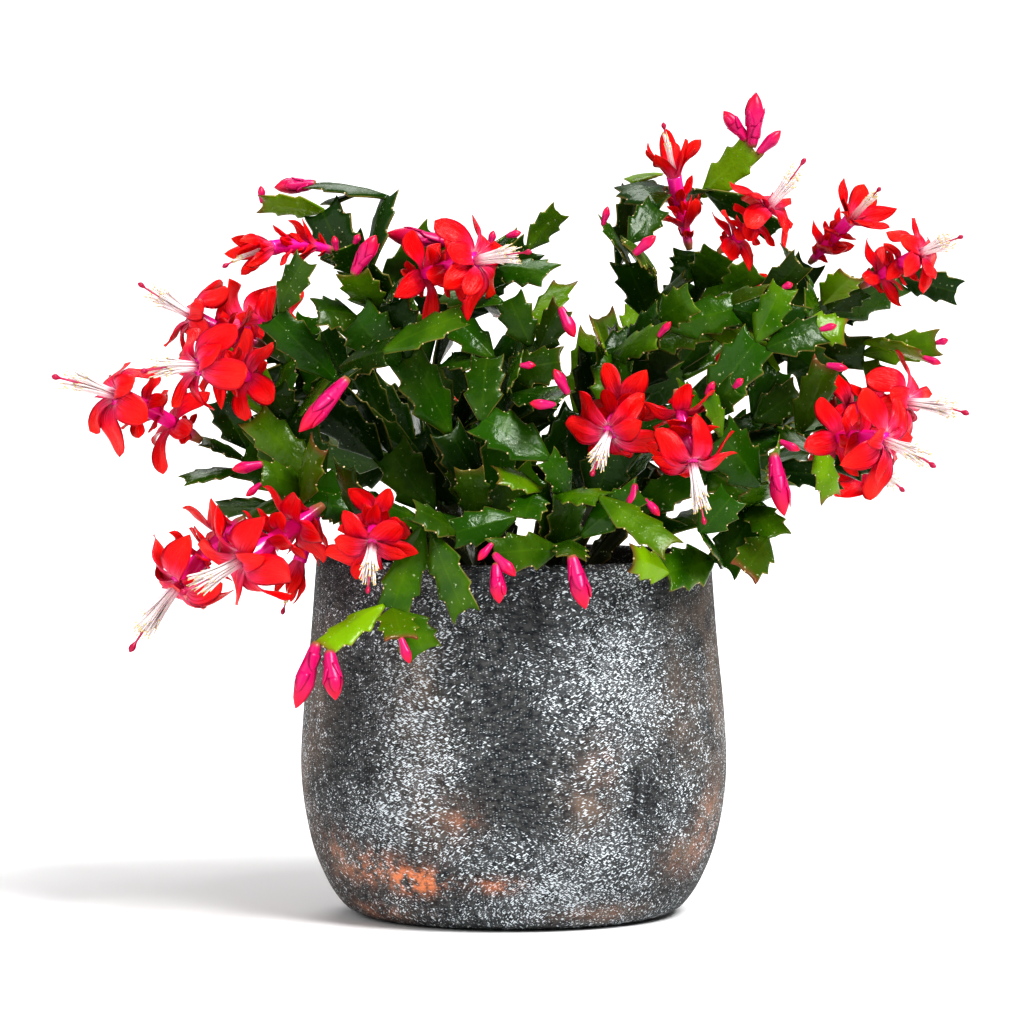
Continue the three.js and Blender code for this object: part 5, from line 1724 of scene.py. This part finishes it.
class CactusStemLook(PropertyGroup):
    old_green: a_colour("Old green", "Colour of the grown joints", (0.025, 0.09, 0.0005))
    young_green: a_colour("Young green", "Colour of the youngest joints", (0.19, 0.34, 0.002))
    deep_green: a_colour("Deep green", "Darkest green of the old joints", (0.005, 0.025, 0.0005))
    woody: a_colour("Woody green", "Colour of the old joints by the soil", (0.03, 0.038, 0.012))
    edge: a_colour("Edge", "Colour of the worn edges", (0.32, 0.24, 0.07))
    flush: a_colour("Flush", "Reddish colour at the tips of young joints", (0.22, 0.05, 0.03))
    rib_height: a_length("Rib height", "How far the rib stands out of a joint", 0.0004)


class CactusBloomLook(PropertyGroup):
    petal_base: a_colour("Petal base", "Colour of the petals where they start", (0.68, 0.002, 0.1))
    petal_tip: a_colour("Petal", "Colour of the petals", (0.8, 0.001, 0.006))
    petal_glow: a_colour("Petal glow", "Warmest colour of the petals", (0.95, 0.025, 0.003))
    tube: a_colour("Tube", "Colour of the tube between the petals", (0.85, 0.02, 0.36))
    bud: a_colour("Bud", "Colour of the buds", (0.52, 0.003, 0.14))
    bud_tip: a_colour("Bud tip", "Colour of the buds' tips", (0.65, 0.004, 0.035))
    stamen: a_colour("Stamen", "Colour of the stamen threads", (0.82, 0.74, 0.73))
    anther: a_colour("Anther", "Colour of the anthers", (0.85, 0.72, 0.42))
    style: a_colour("Style", "Colour of the style and its tip", (0.4, 0.004, 0.06))
    petal_thickness: a_length("Petal thickness", "Thickness of a petal", 0.0006)
    stamen_count: IntProperty(name="Stamens", description="Stamens in each bloom", default=56, min=1)


class CactusStageLook(PropertyGroup):
    floor: a_colour("Floor", "Colour of the floor", (0.93, 0.93, 0.93))
    air: a_colour("Air", "Colour of the light from all round", (1.0, 1.0, 1.0))
    air_strength: a_strength("Air strength", "Light from all round", 0.34)
    key_strength: a_strength("Key", "Light from the front right", 3.0)
    fill_strength: a_strength("Fill", "Light from the front left", 0.75)
    back_strength: a_strength("Back", "Light from behind and above", 0.6)
    floor_reach: a_length("Floor", "How far the floor reaches", 40.0)
    lens: FloatProperty(name="Lens", description="Focal length in millimetres", default=187.5, min=1)
    eye: a_place("Eye", "Where the camera stands", (-0.0008, -2.4, 0.3))
    target: a_place("Target", "What the camera looks at", (-0.0008, 0, 0.1809))


GROUPS = {
    "cactus_pot": CactusPotLook,
    "cactus_stems": CactusStemLook,
    "cactus_blooms": CactusBloomLook,
    "cactus_stage": CactusStageLook,
}
OPERATORS = (
    CACTUS_OT_pot, CACTUS_OT_soil, CACTUS_OT_stems, CACTUS_OT_blooms, CACTUS_OT_stamens, CACTUS_OT_stage,
)


class CACTUS_PT_sidebar(Panel):
    """Lists the pieces and their sizes and colours"""

    bl_label = "Christmas cactus"
    bl_idname = "CACTUS_PT_sidebar"
    bl_space_type = "VIEW_3D"
    bl_region_type = "UI"
    bl_category = "Cactus"

    def draw(self, context):
        for operator in OPERATORS:
            self.layout.operator(operator.bl_idname)
        for name, group in GROUPS.items():
            box = self.layout.box()
            look = getattr(context.scene, name)
            for prop in group.__annotations__:
                box.prop(look, prop)


CLASSES = (*GROUPS.values(), *OPERATORS, CACTUS_PT_sidebar)


def register():
    for made in CLASSES:
        bpy.utils.register_class(made)
    for name, group in GROUPS.items():
        setattr(bpy.types.Scene, name, PointerProperty(type=group))


def unregister():
    for name in GROUPS:
        delattr(bpy.types.Scene, name)
    for made in reversed(CLASSES):
        bpy.utils.unregister_class(made)


def main():
    register()
    for operator in OPERATORS:
        group, name = operator.bl_idname.split(".")
        getattr(getattr(bpy.ops, group), name)()
    boxes = {"cad": cad_box, "visual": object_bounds()}
    rows = {key: [list(corner) for corner in corners] for key, corners in boxes.items()}


if __name__ == "__main__":
    main()
